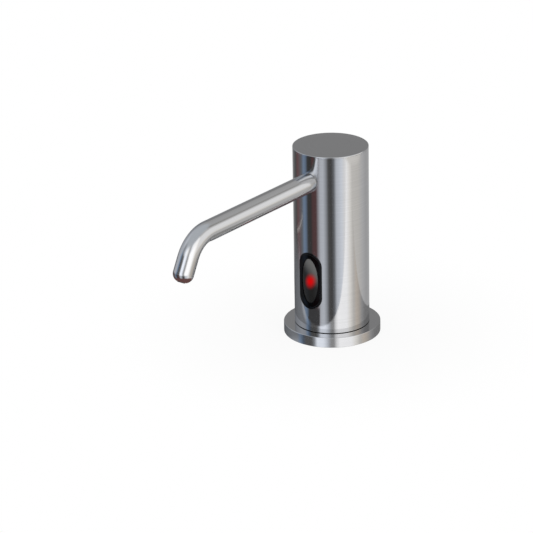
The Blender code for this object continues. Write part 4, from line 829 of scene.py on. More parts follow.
@dataclass
class Column(SubAssembly):
    """The round body tube with its flange, set screw and cap."""

    radius: float = COLUMN_RADIUS
    wall: float = 1.5 * MM
    foot: float = 7.05 * MM
    foot_rounding: float = 0.06 * MM
    head: float = 124.46 * MM
    head_rounding: float = 0.04 * MM
    tube_rounding_steps: int = 2
    top: float = 125.4 * MM
    cap_rim: float = 0.9 * MM
    cap_rounding: float = 0.35 * MM
    cap_foot_rounding: float = 0.04 * MM
    cap_plate: float = 2.6 * MM
    spigot: float = 6.4 * MM
    spigot_gap: float = 0.3 * MM
    spigot_wall: float = 2.4 * MM
    spigot_rounding: float = 0.4 * MM
    groove_half_width: float = 1.1 * MM
    groove_depth: float = 1.6 * MM
    groove_rounding: float = 0.1 * MM
    flange_radius: float = 31.05 * MM
    flange_height: float = 6.7 * MM
    flange_rounding: float = 0.35 * MM
    flange_foot_rounding: float = 0.2 * MM
    flange_bore: float = 14.3 * MM
    recess: tuple[float, float, float] = (19.05 * MM, 27.05 * MM, 1.5 * MM)
    window_half_width: float = 7.8 * MM
    window_half_height: float = 18.5 * MM
    window_height: float = WINDOW_HEIGHT
    spout_height: float = SPOUT_HEIGHT
    spout_hole: float = 5.4 * MM
    hole_margin: float = 3.0 * MM
    cutter_start: float = 1.5 * MM
    screw_height: float = 13.0 * MM
    screw_radius: float = 2.0 * MM
    screw_length: float = 5.0 * MM
    screw_key: float = 2.0 * MM
    screw_gap: float = 0.3 * MM
    screw_inset: float = 0.3 * MM
    screw_roundings: tuple[float, float] = (0.4 * MM, 0.25 * MM)

    def build(self) -> None:
        """Builds the tube, the flange, the cap and the set screw."""
        self.build_tube()
        self.build_flange()
        self.build_cap()
        self.build_set_screw()

    def build_tube(self) -> None:
        """The tube, with its window, its hole for the spout's stud and its hole for the set screw.

        It is cut into bands just above and below each hole, so that the long facets between them stay whole.
        """
        bore = self.radius - self.wall
        tube = turn_profile(
            [
                (bore, self.foot),
                (self.radius, self.foot, self.foot_rounding),
                (self.radius, self.head, self.head_rounding),
                (bore, self.head),
            ],
            FINE_STEPS,
            self.tube_rounding_steps,
        )
        margin = self.hole_margin
        for height in (
            self.screw_height + self.screw_radius + margin,
            self.window_height - self.window_half_height - margin,
            self.window_height + self.window_half_height + margin,
            self.spout_height - self.spout_hole - margin,
            self.spout_height + self.spout_hole + margin,
        ):
            bmesh.ops.bisect_plane(
                tube,
                geom=[*tube.verts, *tube.edges, *tube.faces],
                plane_co=(0, 0, height),
                plane_no=(0, 0, 1),
            )
        front = Matrix.Rotation(math.radians(90), 4, "X")
        near, far = self.cutter_start, self.radius + margin
        turns = [TAU * step / ROUND_STEPS for step in range(ROUND_STEPS)]
        outline = [stadium_point(self.window_half_width, self.window_half_height, turn) for turn in turns]
        window = prism(outline, near, far)
        window.transform(Matrix.Translation((0, 0, self.window_height)) @ front)
        stud = round_rod(self.spout_hole, near, far)
        stud.transform(Matrix.Translation((0, 0, self.spout_height)) @ front)
        screw = round_rod(self.screw_radius + self.screw_gap, near, far)
        screw.transform(Matrix.Translation((0, 0, self.screw_height)) @ front.inverted())
        tube = boolean(tube, (window, stud, screw), Joinery.CUT)
        slot = Slot.BRUSHED_STEEL
        piece = self.place("column_tube", tube, slot, Body.DISPENSER, ["body_shell"], even=False)
        round_normals(piece)

    def build_flange(self) -> None:
        """The flange that stands on the deck."""
        inner, outer, deep = self.recess
        flange = turn_profile(
            [
                (self.flange_bore, 0.0),
                (inner, 0.0),
                (inner, deep),
                (outer, deep),
                (outer, 0.0),
                (self.flange_radius, 0.0, self.flange_foot_rounding),
                (self.flange_radius, self.flange_height, self.flange_rounding),
                (self.flange_bore, self.flange_height),
            ],
            FINE_STEPS,
        )
        self.place("deck_flange", flange, Slot.BRUSHED_STEEL, Body.DISPENSER, ["base_flange"])

    def build_cap(self) -> None:
        """The cap that closes the tube, with its spigot."""
        rim_low = self.top - self.cap_rim
        spigot = self.radius - self.wall - self.spigot_gap
        inside = spigot - self.spigot_wall
        plate = self.top - self.cap_plate
        groove_high = rim_low - self.spigot / 2 + self.groove_half_width
        groove_low = rim_low - self.spigot / 2 - self.groove_half_width
        groove = spigot - self.groove_depth
        cap = turn_profile(
            [
                (0.0, plate),
                (inside, plate, self.spigot_rounding),
                (inside, rim_low - self.spigot),
                (spigot, rim_low - self.spigot, self.spigot_rounding),
                (spigot, groove_low, self.groove_rounding),
                (groove, groove_low),
                (groove, groove_high),
                (spigot, groove_high, self.groove_rounding),
                (spigot, rim_low),
                (self.radius, rim_low, self.cap_foot_rounding),
                (self.radius, self.top, self.cap_rounding),
                (0.0, self.top),
            ],
            FINE_STEPS,
        )
        self.place("closing_cap", cap, Slot.BRUSHED_STEEL, Body.CAP, ["top_cap"])

    def build_set_screw(self) -> None:
        """The grub screw in the back of the column, with its hexagon socket."""
        outer = self.radius - self.screw_inset
        inner_rounding, outer_rounding = self.screw_roundings
        turned = turn_profile(
            [
                (0.0, outer - self.screw_length),
                (self.screw_radius, outer - self.screw_length, inner_rounding),
                (self.screw_radius, outer, outer_rounding),
                (0.0, outer),
            ],
            SMALL_STEPS,
        )
        socket = hexagon_rod(self.screw_key, outer - self.screw_key, self.radius)
        screw = boolean(turned, [socket], Joinery.CUT)
        back = Matrix.Rotation(math.radians(-90), 4, "X")
        screw.transform(Matrix.Translation((0, 0, self.screw_height)) @ back)
        self.place("grub_screw", screw, Slot.ZINC_STEEL, Body.DISPENSER, ["set_screw"], even=False)


def round_normals(piece: bpy.types.Object) -> None:
    """Gives a tube round Z its true cylinder's normals, so that what it mirrors runs straight past its holes.

    Args:
        piece: The tube.
    """
    mesh = piece.data
    normals = []
    for polygon in mesh.polygons:
        for index in polygon.vertices:
            radial = Vector((*mesh.vertices[index].co.xy, 0.0)).normalized()
            facing = polygon.normal.dot(radial)
            curved = abs(facing) > CURVED_SHARE
            normals.append(radial * math.copysign(1.0, facing) if curved else polygon.normal.copy())
    mesh.normals_split_custom_set(normals)


@dataclass
class Spout(SubAssembly):
    """The bent spout with its rounded nose and the nozzle in it."""

    radius: float = 6.395 * MM
    bore: float = 5.3 * MM
    height: float = SPOUT_HEIGHT
    seat: float = 24.02 * MM
    straight: float = 125.1 * MM
    bend_radius: float = 22.1 * MM
    bend_angle: float = math.radians(61.5)
    end_length: float = 14.2 * MM
    root_rounding: float = 0.5 * MM
    root_gap: float = 0.15 * MM
    root_inset: float = 0.1 * MM
    straight_rings: tuple[float, ...] = (30.0 * MM, 60.0 * MM, 90.0 * MM, 115.0 * MM)
    nose_radius: float = 5.4 * MM
    nose_end: float = 3.05 * MM
    nose_depth: float = 4.2 * MM
    flattening: float = 1.5 * MM
    outlet: float = 2.5 * MM
    outlet_lip: float = 0.25 * MM
    pocket_wall: float = 2.2 * MM
    nozzle_bore: float = 1.3 * MM
    nozzle_standout: float = 0.4 * MM
    nozzle_gap: float = 0.12 * MM
    nozzle_roundings: tuple[float, float] = (0.25 * MM, 0.2 * MM)
    collar_gap: float = 0.3 * MM
    collar_length: float = 0.9 * MM
    collar_width: float = 1.2 * MM
    barb_radius: float = 1.7 * MM
    barb_length: float = 4.0 * MM
    bend_steps: int = 40
    bore_stride: int = 4
    nose_steps: int = 12

    @property
    def bend_length(self) -> float:
        """The length of the bend along the centreline."""
        return self.bend_radius * self.bend_angle

    @property
    def tip(self) -> float:
        """How far along the centreline the nose ends."""
        return self.straight + self.bend_length + self.end_length

    def place_at(self, distance: float) -> Matrix:
        """The matrix of a ring along the centreline: X is across, and Y points out of the bend.

        Args:
            distance: How far along, from the column's axis.

        Returns:
            The ring's matrix.
        """
        turn = min(max(distance - self.straight, 0.0) / self.bend_radius, self.bend_angle)
        reach = min(distance, self.straight) + self.bend_radius * math.sin(turn)
        drop = self.bend_radius * (1 - math.cos(turn))
        along = Vector((0, -math.cos(turn), -math.sin(turn)))
        across = Vector((1, 0, 0))
        outward = along.cross(across)
        past = max(distance - self.straight - self.bend_length, 0.0)
        centre = Vector((0, -reach, self.height - drop)) + along * past
        matrix = Matrix((across, outward, along)).transposed().to_4x4()
        matrix.translation = centre
        return matrix

    def ring(self, distance: float, radius: float, squeeze: float = 0.0) -> Place:
        """A ring of the tube, flattened on the side that faces the inside of the bend.

        Args:
            distance: How far along the centreline.
            radius: The ring's radius.
            squeeze: How much its inner side is flattened.

        Returns:
            Where each point of the ring goes.
        """
        matrix = self.place_at(distance)

        def place(turn: float) -> Vector:
            """The point at a turn.

            Args:
                turn: The turn round the ring.

            Returns:
                The point.
            """
            outward = math.sin(turn)
            depth = radius - squeeze * max(-outward, 0.0)
            return matrix @ Vector((radius * math.cos(turn), depth * outward, 0.0))

        return place

    def saddle(self, radius: float, away: float = 0.0) -> Place:
        """A ring that follows the round column where the tube meets it.

        Args:
            radius: The ring's radius.
            away: How far it stands off the column.

        Returns:
            Where each point of the ring goes.
        """

        def place(turn: float) -> Vector:
            """The point at a turn.

            Args:
                turn: The turn round the ring.

            Returns:
                The point.
            """
            across = radius * math.cos(turn)
            reach = math.sqrt(self.seat**2 - across**2) + away
            return Vector((across, -reach, self.height + radius * math.sin(turn)))

        return place

    def build(self) -> None:
        """Builds the tube and the nozzle."""
        self.build_tube()
        self.build_nozzle()

    def build_tube(self) -> None:
        """The tube: out along its outside, round the nose and back along its bore."""
        skin = Skin(ROUND_STEPS, self.saddle(self.radius - self.root_rounding - self.root_inset))
        self.grow_root(skin)
        for distance in self.straight_rings:
            skin.grow(self.ring(distance, self.radius))
        shares = [step / self.bend_steps for step in range(self.bend_steps + 1)]
        self.grow_bend(skin, self.radius, shares)
        self.grow_nose(skin)
        self.grow_bend(skin, self.bore, shares[:: -self.bore_stride])
        skin.grow(self.saddle(self.bore))
        tube = skin.close()
        self.unroll(tube)
        self.place("spout", tube, Slot.SPOUT_STEEL, Body.DISPENSER, ["spout_tube"], even=False)

    def grow_root(self, skin: Skin) -> None:
        """Grows the rounded edge where the tube meets the column.

        Args:
            skin: The tube so far.
        """
        edge = self.root_rounding
        for step in range(ROUNDING_STEPS + 1):
            angle = math.pi / 2 * step / ROUNDING_STEPS
            radius = self.radius - edge * (1 - math.sin(angle))
            skin.grow(self.saddle(radius, self.root_gap + edge * (1 - math.cos(angle))))

    def grow_bend(self, skin: Skin, radius: float, shares: Iterable[float]) -> None:
        """Grows rings along the bend, flattened most at its middle.

        Args:
            skin: The tube so far.
            radius: The rings' radius.
            shares: Where the rings are, as shares of the bend.
        """
        for share in shares:
            squeeze = self.flattening * math.sin(math.pi * share)
            skin.grow(self.ring(self.straight + self.bend_length * share, radius, squeeze))

    def grow_nose(self, skin: Skin) -> None:
        """Grows the rounded nose, the lip of its outlet and the pocket for the nozzle.

        Args:
            skin: The tube so far.
        """
        tip = self.tip
        full = math.acos((self.nose_end - self.radius + self.nose_radius) / self.nose_radius)
        start = tip - self.nose_radius * math.sin(full)
        for step in range(self.nose_steps + 1):
            angle = full * step / self.nose_steps
            distance = start + self.nose_radius * math.sin(angle)
            skin.grow(self.ring(distance, self.radius - self.nose_radius * (1 - math.cos(angle))))
        skin.grow(self.ring(tip, self.outlet + self.outlet_lip))
        skin.grow(self.ring(tip - self.outlet_lip, self.outlet))
        skin.grow(self.ring(tip - self.nose_depth, self.outlet))
        skin.grow(self.ring(tip - self.nose_depth, self.radius - self.pocket_wall))

    def unroll(self, tube: bmesh.types.BMesh) -> None:
        """Gives the tube a UV map in metres: round its section, and along its centreline.

        Args:
            tube: The tube's mesh.
        """
        layer = tube.loops.layers.uv.new("unrolled")
        low = self.height - self.bend_radius
        girth = TAU * self.radius
        for face in tube.faces:
            rounds = []
            for loop in face.loops:
                point = loop.vert.co
                arm = Vector((point.y + self.straight, point.z - low))
                turn = min(max(math.atan2(-arm.x, arm.y), 0.0), self.bend_angle)
                along = self.straight + self.bend_radius * turn
                if turn == 0.0:
                    along = -point.y
                elif turn == self.bend_angle:
                    ring = self.place_at(along)
                    along += (point - ring.translation).dot(ring.col[2].xyz)
                ring = self.place_at(along)
                local = ring.inverted() @ point
                rounds.append((math.atan2(local.x, local.y) * self.radius, along))
            span = max(u for u, _ in rounds) - min(u for u, _ in rounds)
            for loop, (u, v) in zip(face.loops, rounds):
                loop[layer].uv = (u + girth if span > girth / 2 and u < 0 else u, v)

    def build_nozzle(self) -> None:
        """The dark outlet nozzle in the nose."""
        body = self.outlet - self.nozzle_gap
        collar = self.barb_radius + self.collar_width
        collar_high = -self.nose_depth - self.collar_gap
        collar_low = collar_high - self.collar_length
        barb_end = collar_low - self.barb_length
        outer_rounding, inner_rounding = self.nozzle_roundings
        nozzle = turn_profile(
            [
                (self.nozzle_bore, barb_end),
                (self.barb_radius, barb_end),
                (self.barb_radius, collar_low),
                (collar, collar_low),
                (collar, collar_high),
                (body, collar_high),
                (body, self.nozzle_standout, outer_rounding),
                (self.nozzle_bore, self.nozzle_standout, inner_rounding),
            ],
            SMALL_STEPS,
        )
        nozzle.transform(self.place_at(self.tip))
        self.place("spout_outlet", nozzle, Slot.BLACK_PLASTIC, Body.DISPENSER, ["outlet_nozzle"])


@dataclass
class SensorWindow(SubAssembly):
    """The gloss black bezel in the column's front, with the dark lens in it."""

    column_radius: float = COLUMN_RADIUS
    height: float = WINDOW_HEIGHT
    half_width: float = 8.7 * MM
    half_height: float = 19.15 * MM
    proud: float = 0.5 * MM
    bead: float = 1.5 * MM
    edge_rounding: float = 0.45 * MM
    field_drop: float = 0.25 * MM
    foot_gap: float = 0.02 * MM
    lip: float = 1.2 * MM
    neck_back: float = 18.4 * MM
    ledge: float = 1.4 * MM
    ledge_width: float = 0.7 * MM
    oval_margin: float = 0.5 * MM
    oval_rounding: float = 0.25 * MM
    oval_rounding_steps: int = 2
    lens_half_width: float = 6.2 * MM
    lens_half_height: float = 15.0 * MM
    lens_gap: float = 0.08 * MM
    lens_back_gap: float = 0.1 * MM
    lens_rim: float = 23.85 * MM
    lens_dome: float = 0.7 * MM
    lens_rings: int = 14
    steps: int = 128
    rounding_steps: int = 5

    def forward(self, x: float, z: float, radius: float, back: float | None = None) -> Vector:
        """Brings a point of an outline forward, onto a cylinder round the column's axis or a flat plane.

        Args:
            x: How far the point is to the side.
            z: How far it is above the window's middle.
            radius: The cylinder's radius.
            back: The flat plane that it goes onto instead, as a distance in front of the axis.

        Returns:
            The point.
        """
        return Vector((x, -(back or math.sqrt(radius**2 - x**2)), self.height + z))

    def slot_ring(self, inset: float, radius: float, back: float | None = None) -> Place:
        """A ring along the bezel's outline.

        Args:
            inset: How far inside the outline.
            radius: The cylinder that it lies on.
            back: The flat plane that it lies in instead, as a distance in front of the axis.

        Returns:
            Where each point of the ring goes.
        """

        def place(turn: float) -> Vector:
            """The point at a turn."""
            x, z = stadium_point(self.half_width - inset, self.half_height - inset, turn)
            return self.forward(x, z, radius, back)

        return place

    def oval_ring(self, inset: float, radius: float, back: float | None = None) -> Place:
        """A ring along the lens's outline.

        Args:
            inset: How far inside the outline.
            radius: The cylinder that it lies on.
            back: The flat plane that it lies in instead, as a distance in front of the axis.

        Returns:
            Where each point of the ring goes.
        """
        half_width, half_height = self.lens_half_width - inset, self.lens_half_height - inset

        def place(turn: float) -> Vector:
            """The point at a turn.

            Args:
                turn: The turn round the ring.

            Returns:
                The point.
            """
            reach = 1 / math.hypot(math.cos(turn) / half_width, math.sin(turn) / half_height)
            x, z = reach * math.cos(turn), reach * math.sin(turn)
            return self.forward(x, z, radius, back)

        return place

    def build(self) -> None:
        """Builds the bezel and the lens."""
        self.build_bezel()
        self.build_lens()

    def build_bezel(self) -> None:
        """The bezel: a rounded bead round a sunk field, and the neck that passes through the tube's wall."""
        foot = self.column_radius + self.foot_gap
        face = self.column_radius + self.proud
        field_radius = face - self.field_drop
        skin = Skin(self.steps, self.slot_ring(0.0, foot))
        for step in range(self.rounding_steps + 1):
            angle = math.pi / 2 * step / self.rounding_steps
            inset = self.edge_rounding * (1 - math.cos(angle))
            skin.grow(self.slot_ring(inset, face - self.edge_rounding * (1 - math.sin(angle))))
        flat = self.edge_rounding + (self.bead - self.edge_rounding) / 2
        for step in range(self.rounding_steps + 1):
            share = step / self.rounding_steps
            drop = self.field_drop * (1 - math.cos(math.pi * share)) / 2
            skin.grow(self.slot_ring(flat + (self.bead - flat) * share, face - drop))
        skin.grow(self.oval_ring(-self.oval_margin, field_radius))
        ease = self.oval_rounding
        for step in range(self.oval_rounding_steps + 1):
            angle = math.pi / 2 * step / self.oval_rounding_steps
            drop = ease * (1 - math.cos(angle))
            skin.grow(self.oval_ring(-ease * (1 - math.sin(angle)), field_radius - drop))
        ledge_front = self.neck_back + self.ledge
        skin.grow(self.oval_ring(0.0, field_radius, ledge_front))
        skin.grow(self.oval_ring(self.ledge_width, field_radius, ledge_front))
        skin.grow(self.oval_ring(self.ledge_width, field_radius, self.neck_back))
        skin.grow(self.slot_ring(self.lip, foot, self.neck_back))
        skin.grow(self.slot_ring(self.lip, foot))
        bezel = skin.close()
        self.place("window_bezel", bezel, Slot.BLACK_GLOSS, Body.DISPENSER, ["sensor_bezel"])

    def build_lens(self) -> None:
        """The domed lens, closed at its back."""
        back = self.neck_back + self.ledge + self.lens_back_gap

        def dome(share: float) -> Place:
            """A ring of the dome.

            Args:
                share: How far from its middle to its rim.

            Returns:
                Where each point of the ring goes.
            """

            def place(turn: float) -> Vector:
                """The point at a turn.

                Args:
                    turn: The turn round the ring.

                Returns:
                    The point.
                """
                half_width = (self.lens_half_width - self.lens_gap) * share
                half_height = (self.lens_half_height - self.lens_gap) * share
                x, z = half_width * math.cos(turn), half_height * math.sin(turn)
                return self.forward(x, z, self.lens_rim + self.lens_dome * (1 - share**2))

            return place

        def flat(turn: float) -> Vector:
            """The point at a turn of the lens's back edge."""
            front = dome(1.0)(turn)
            return Vector((front.x, -back, front.z))

        skin = Skin(self.steps, flat)
        for ring in range(self.lens_rings):
            skin.grow(dome(1.0 - ring / self.lens_rings))
        skin.cap()
        skin.cap(first=True)
        bmesh.ops.recalc_face_normals(skin.bm, faces=skin.bm.faces)
        self.place("window_lens", skin.bm, Slot.DARK_LENS, Body.DISPENSER, ["sensor_lens"], even=False)


@dataclass
class DeckFixing(SubAssembly):
    """What clamps the dispenser from below the deck."""

    shank_radius: float = 14.0 * MM
    shank_bore: float = 10.5 * MM
    shank_top: float = 19.0 * MM
    shank_low: float = -52.0 * MM
    plain_low: float = -4.5 * MM
    bore_rounding: float = 0.3 * MM
    end_rounding: float = 0.6 * MM
    top_rounding: float = 0.5 * MM
    thread_depth: float = 1.6 * MM
    pitch: float = 3.0 * MM
    ridge_root: float = 0.95 * MM
    ridge_crest: float = 0.35 * MM
    ridge_sink: float = 0.4 * MM
    turn_steps: int = 72
    washer_radius: float = 25.0 * MM
    washer_bore: float = 14.3 * MM
    rubber: tuple[float, float] = (-23.0 * MM, -20.0 * MM)
    rubber_rounding: float = 0.5 * MM
    steel: tuple[float, float] = (-24.8 * MM, -23.3 * MM)
    steel_rounding: float = 0.25 * MM
    nut: tuple[float, float] = (-34.1 * MM, -25.1 * MM)
    nut_width: float = 38.0 * MM
    nut_face_inset: float = 0.3 * MM
    nut_slope: float = math.radians(30)
    nut_overrun: tuple[float, float] = (1.0 * MM, 0.6 * MM)
    nut_bore_gap: float = 0.3 * MM
    nut_bore_ease: float = 0.8 * MM

    def build(self) -> None:
        """Builds the shank, the washers and the nut."""
        self.build_shank()
        self.build_washers()
        self.build_nut()

    def build_shank(self) -> None:
        """The shank with its thread."""
        core = self.shank_radius - self.thread_depth
        shank = turn_profile(
            [
                (self.shank_bore, self.shank_low, self.bore_rounding),
                (core, self.shank_low, self.end_rounding),
                (core, self.plain_low),
                (self.shank_radius, self.plain_low, self.end_rounding),
                (self.shank_radius, self.shank_top, self.top_rounding),
                (self.shank_bore, self.shank_top, self.bore_rounding),
            ],
            self.turn_steps,
        )
        shank = boolean(shank, [self.thread_ridge(core)], Joinery.JOIN)
        self.place("shank", shank, Slot.BRASS, Body.DISPENSER, ["threaded_shank"], even=False)

    def thread_ridge(self, core: float) -> bmesh.types.BMesh:
        """The thread's ridge, spun up the shank and sunk into its core.

        Args:
            core: The shank's radius below the thread.

        Returns:
            The closed ridge.
        """
        bm = bmesh.new()
        turns = int((self.plain_low - self.shank_low) / self.pitch) - 1
        start = self.shank_low + self.pitch / 2
        section = (
            (core - self.ridge_sink, -self.ridge_root),
            (self.shank_radius, -self.ridge_crest),
            (self.shank_radius, self.ridge_crest),
            (core - self.ridge_sink, self.ridge_root),
        )
        corners = [bm.verts.new((radius, 0, start + rise)) for radius, rise in section]
        first = bm.faces.new(corners)
        grown = bmesh.ops.spin(
            bm,
            geom=[*corners, *first.edges],
            cent=(0, 0, 0),
            axis=(0, 0, 1),
            dvec=(0, 0, self.pitch / self.turn_steps),
            angle=TAU * turns,
            steps=turns * self.turn_steps,
        )["geom_last"]
        bmesh.ops.edgeloop_fill(bm, edges=only(bmesh.types.BMEdge, grown))
        bmesh.ops.recalc_face_normals(bm, faces=bm.faces)
        return bm

    def build_washers(self) -> None:
        """The rubber washer against the deck and the steel one below it."""
        for name, (low, high), rounding, slot, node in (
            ("rubber_washer", self.rubber, self.rubber_rounding, Slot.RUBBER, "deck_washer"),
            ("steel_washer", self.steel, self.steel_rounding, Slot.ZINC_STEEL, "clamp_washer"),
        ):
            washer = turn_profile(
                [
                    (self.washer_bore, low, rounding),
                    (self.washer_radius, low, rounding),
                    (self.washer_radius, high, rounding),
                    (self.washer_bore, high, rounding),
                ],
                ROUND_STEPS,
            )
            self.place(name, washer, slot, Body.CLAMP, [node])

    def build_nut(self) -> None:
        """The hexagon nut, with its corners turned off and its bore eased."""
        low, high = self.nut
        corner = self.nut_width / 2 / math.cos(math.pi / 6)
        face = self.nut_width / 2 - self.nut_face_inset
        outside, drop = self.nut_overrun
        outside += corner
        drop += (corner - face) * math.tan(self.nut_slope)
        bore = self.shank_radius + self.nut_bore_gap
        ease = self.nut_bore_ease
        hexagon = hexagon_rod(self.nut_width, low, high)
        turned = turn_profile(
            [
                (bore + ease, low),
                (face, low),
                (outside, low + drop),
                (outside, high - drop),
                (face, high),
                (bore + ease, high),
                (bore, high - ease),
                (bore, low + ease),
            ],
            ROUND_STEPS,
        )
        nut = boolean(hexagon, [turned], Joinery.CROP)
        self.place("hexagon_nut", nut, Slot.BRASS, Body.NUT, ["mounting_nut"], even=False)


@dataclass
class EndPlug(SubAssembly):
    """The plug in the shank's lower end, with the hose barb and the lead's grommet."""

    radius: float = 12.0 * MM
    flange: tuple[float, float] = (-54.3 * MM, -52.3 * MM)
    flange_roundings: tuple[float, float] = (0.4 * MM, 0.3 * MM)
    body: float = 10.2 * MM
    body_rounding: float = 0.4 * MM
    top: float = -45.0 * MM
    overlap: float = 1.0 * MM
    barb_y: float = SUPPLY_Y
    barb_radius: float = 3.0 * MM
    barb_low: float = -65.3 * MM
    barb_bore: float = 1.1 * MM
    barb_ridge: float = 0.5 * MM
    barb_parts: int = 3
    barb_roundings: tuple[float, float] = (0.15 * MM, 0.08 * MM)
    inner_barb: float = 1.7 * MM
    inner_top: float = -38.0 * MM
    grommet_y: float = -6.6 * MM
    grommet_radius: float = 2.5 * MM
    grommet_gap: float = 0.15 * MM
    grommet_lip: float = 0.7 * MM
    grommet_drop: float = 0.3 * MM
    grommet_roundings: tuple[float, float, float] = (0.2 * MM, 0.3 * MM, 0.1 * MM)
    lead_hole: float = 1.42 * MM

    def build(self) -> None:
        """Builds the plug and the grommet."""
        self.build_plug()
        self.build_grommet()

    def build_plug(self) -> None:
        """The plug, joined to its hose barbs and bored through them and for the lead."""
        low, high = self.flange
        lower_rounding, upper_rounding = self.flange_roundings
        plug = turn_profile(
            [
                (0.0, low),
                (self.radius, low, lower_rounding),
                (self.radius, high, upper_rounding),
                (self.body, high),
                (self.body, self.top, self.body_rounding),
                (0.0, self.top),
            ],
            ROUND_STEPS,
        )
        barb = self.barb(low)
        inner = round_rod(self.inner_barb, high, self.inner_top)
        bore = round_rod(self.barb_bore, self.barb_low - self.overlap, self.inner_top + self.overlap)
        hole = round_rod(self.grommet_radius + self.grommet_gap, low - self.overlap, self.top + self.overlap)
        for shape in (barb, inner, bore):
            shape.transform(Matrix.Translation((0, self.barb_y, 0)))
        hole.transform(Matrix.Translation((0, self.grommet_y, 0)))
        plug = boolean(plug, (barb, inner), Joinery.JOIN)
        plug = boolean(plug, (bore, hole), Joinery.CUT)
        slot = Slot.BLACK_PLASTIC
        self.place("lower_plug", plug, slot, Body.DISPENSER, ["shank_end_plug"], even=False)

    def barb(self, low: float) -> bmesh.types.BMesh:
        """The ridged barb that the supply hose pushes onto.

        Args:
            low: The height of the plug's lower face.

        Returns:
            The barb, on the Z axis.
        """
        neck = self.barb_radius - self.barb_ridge
        step = (low - self.barb_low) / self.barb_parts
        end_rounding, ridge_rounding = self.barb_roundings
        profile = [(0.0, self.barb_low), (neck, self.barb_low, end_rounding)]
        for count in range(1, self.barb_parts):
            ridge = self.barb_low + step * count
            profile += [(self.barb_radius, ridge, ridge_rounding), (neck, ridge)]
        profile += [(neck, low + self.overlap), (0.0, low + self.overlap)]
        return turn_profile(profile, SMALL_STEPS)

    def build_grommet(self) -> None:
        """The rubber grommet round the power lead."""
        brim_high = self.flange[0] - self.grommet_drop
        brim_low = brim_high - self.grommet_lip
        brim = self.grommet_radius + self.grommet_lip
        end_rounding, brim_rounding, edge_rounding = self.grommet_roundings
        grommet = turn_profile(
            [
                (self.lead_hole, brim_low, end_rounding),
                (brim, brim_low, brim_rounding),
                (brim, brim_high, edge_rounding),
                (self.grommet_radius, brim_high),
                (self.grommet_radius, self.top, end_rounding),
                (self.lead_hole, self.top),
            ],
            SMALL_STEPS,
        )
        grommet.transform(Matrix.Translation((0, self.grommet_y, 0)))
        self.place("rubber_grommet", grommet, Slot.RUBBER, Body.DISPENSER, ["lead_grommet"])


@dataclass
class CheckValve(SubAssembly):
    """The coil spring that holds the check valve's ball on its seat."""

    centre_y: float = SUPPLY_Y
    low: float = 11.98 * MM
    high: float = 19.14 * MM
    outer_radius: float = 1.99 * MM
    wire_radius: float = 0.2 * MM
    wire_sides: int = 10
    turns: int = 5
    turn_steps: int = 24
    ball_lift: float = 1.2 * MM

    def build(self) -> None:
        """Spins the wire's section up the coil."""
        coil = self.outer_radius - self.wire_radius
        upright = Matrix.Rotation(math.pi / 2, 4, "X")
        start = Matrix.Translation((coil, 0, self.low + self.wire_radius)) @ upright
        rise = self.high - self.low - 2 * self.wire_radius
        steps = self.turns * self.turn_steps
        bm = bmesh.new()
        bmesh.ops.create_circle(bm, segments=self.wire_sides, radius=self.wire_radius, matrix=start)
        first = list(bm.edges)
        grown = bmesh.ops.spin(
            bm,
            geom=[*bm.verts, *bm.edges],
            cent=(0, 0, 0),
            axis=(0, 0, 1),
            dvec=(0, 0, rise / steps),
            angle=TAU * self.turns,
            steps=steps,
        )["geom_last"]
        for loop in (first, only(bmesh.types.BMEdge, grown)):
            bmesh.ops.edgeloop_fill(bm, edges=loop)
        bmesh.ops.translate(bm, verts=bm.verts, vec=(0, self.centre_y, 0))
        bmesh.ops.recalc_face_normals(bm, faces=bm.faces)
        slot = Slot.POLISHED_STEEL
        spring = self.place("coil_spring", bm, slot, Body.DISPENSER, ["valve_spring"], even=False)
        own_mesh(spring)


# Studio
class Tint(Enum):
    """The tints of the panels that stand round the object, as shares of red, green and blue."""

    PLAIN = (1.0, 1.0, 1.01)
    COOL = (0.94, 0.99, 1.08)
    BLUE = (0.7, 0.95, 1.35)
    RED = (1.45, 0.78, 0.8)
    WARM = (1.03, 1.0, 0.95)
    SAND = (1.11, 1.0, 0.88)


@dataclass(frozen=True)
class Panels:
    """Light and dark panels in a row, each with its place, its brightness and its tint."""

    row: tuple[tuple[float, float, Tint], ...]

    def colour(self, graph: Graph, share: bpy.types.NodeSocket) -> bpy.types.NodeSocket:
        """Adds a colour ramp along the row.

        Args:
            graph: The nodes that it is added to.
            share: The place, as a share of the way from the first panel to the last.

        Returns:
            The ramp's colour.
        """
        ramp = graph.add("ShaderNodeValToRGB", {0: share})
        elements = ramp.color_ramp.elements
        while len(elements) < len(self.row):
            elements.new(1.0)
        first, last = self.row[0][0], self.row[-1][0]
        for element, (place, brightness, tint) in zip(elements, self.row):
            element.position = (place - first) / (last - first)
            element.color = (*(brightness * part for part in tint.value), 1.0)
        return ramp.outputs[0]


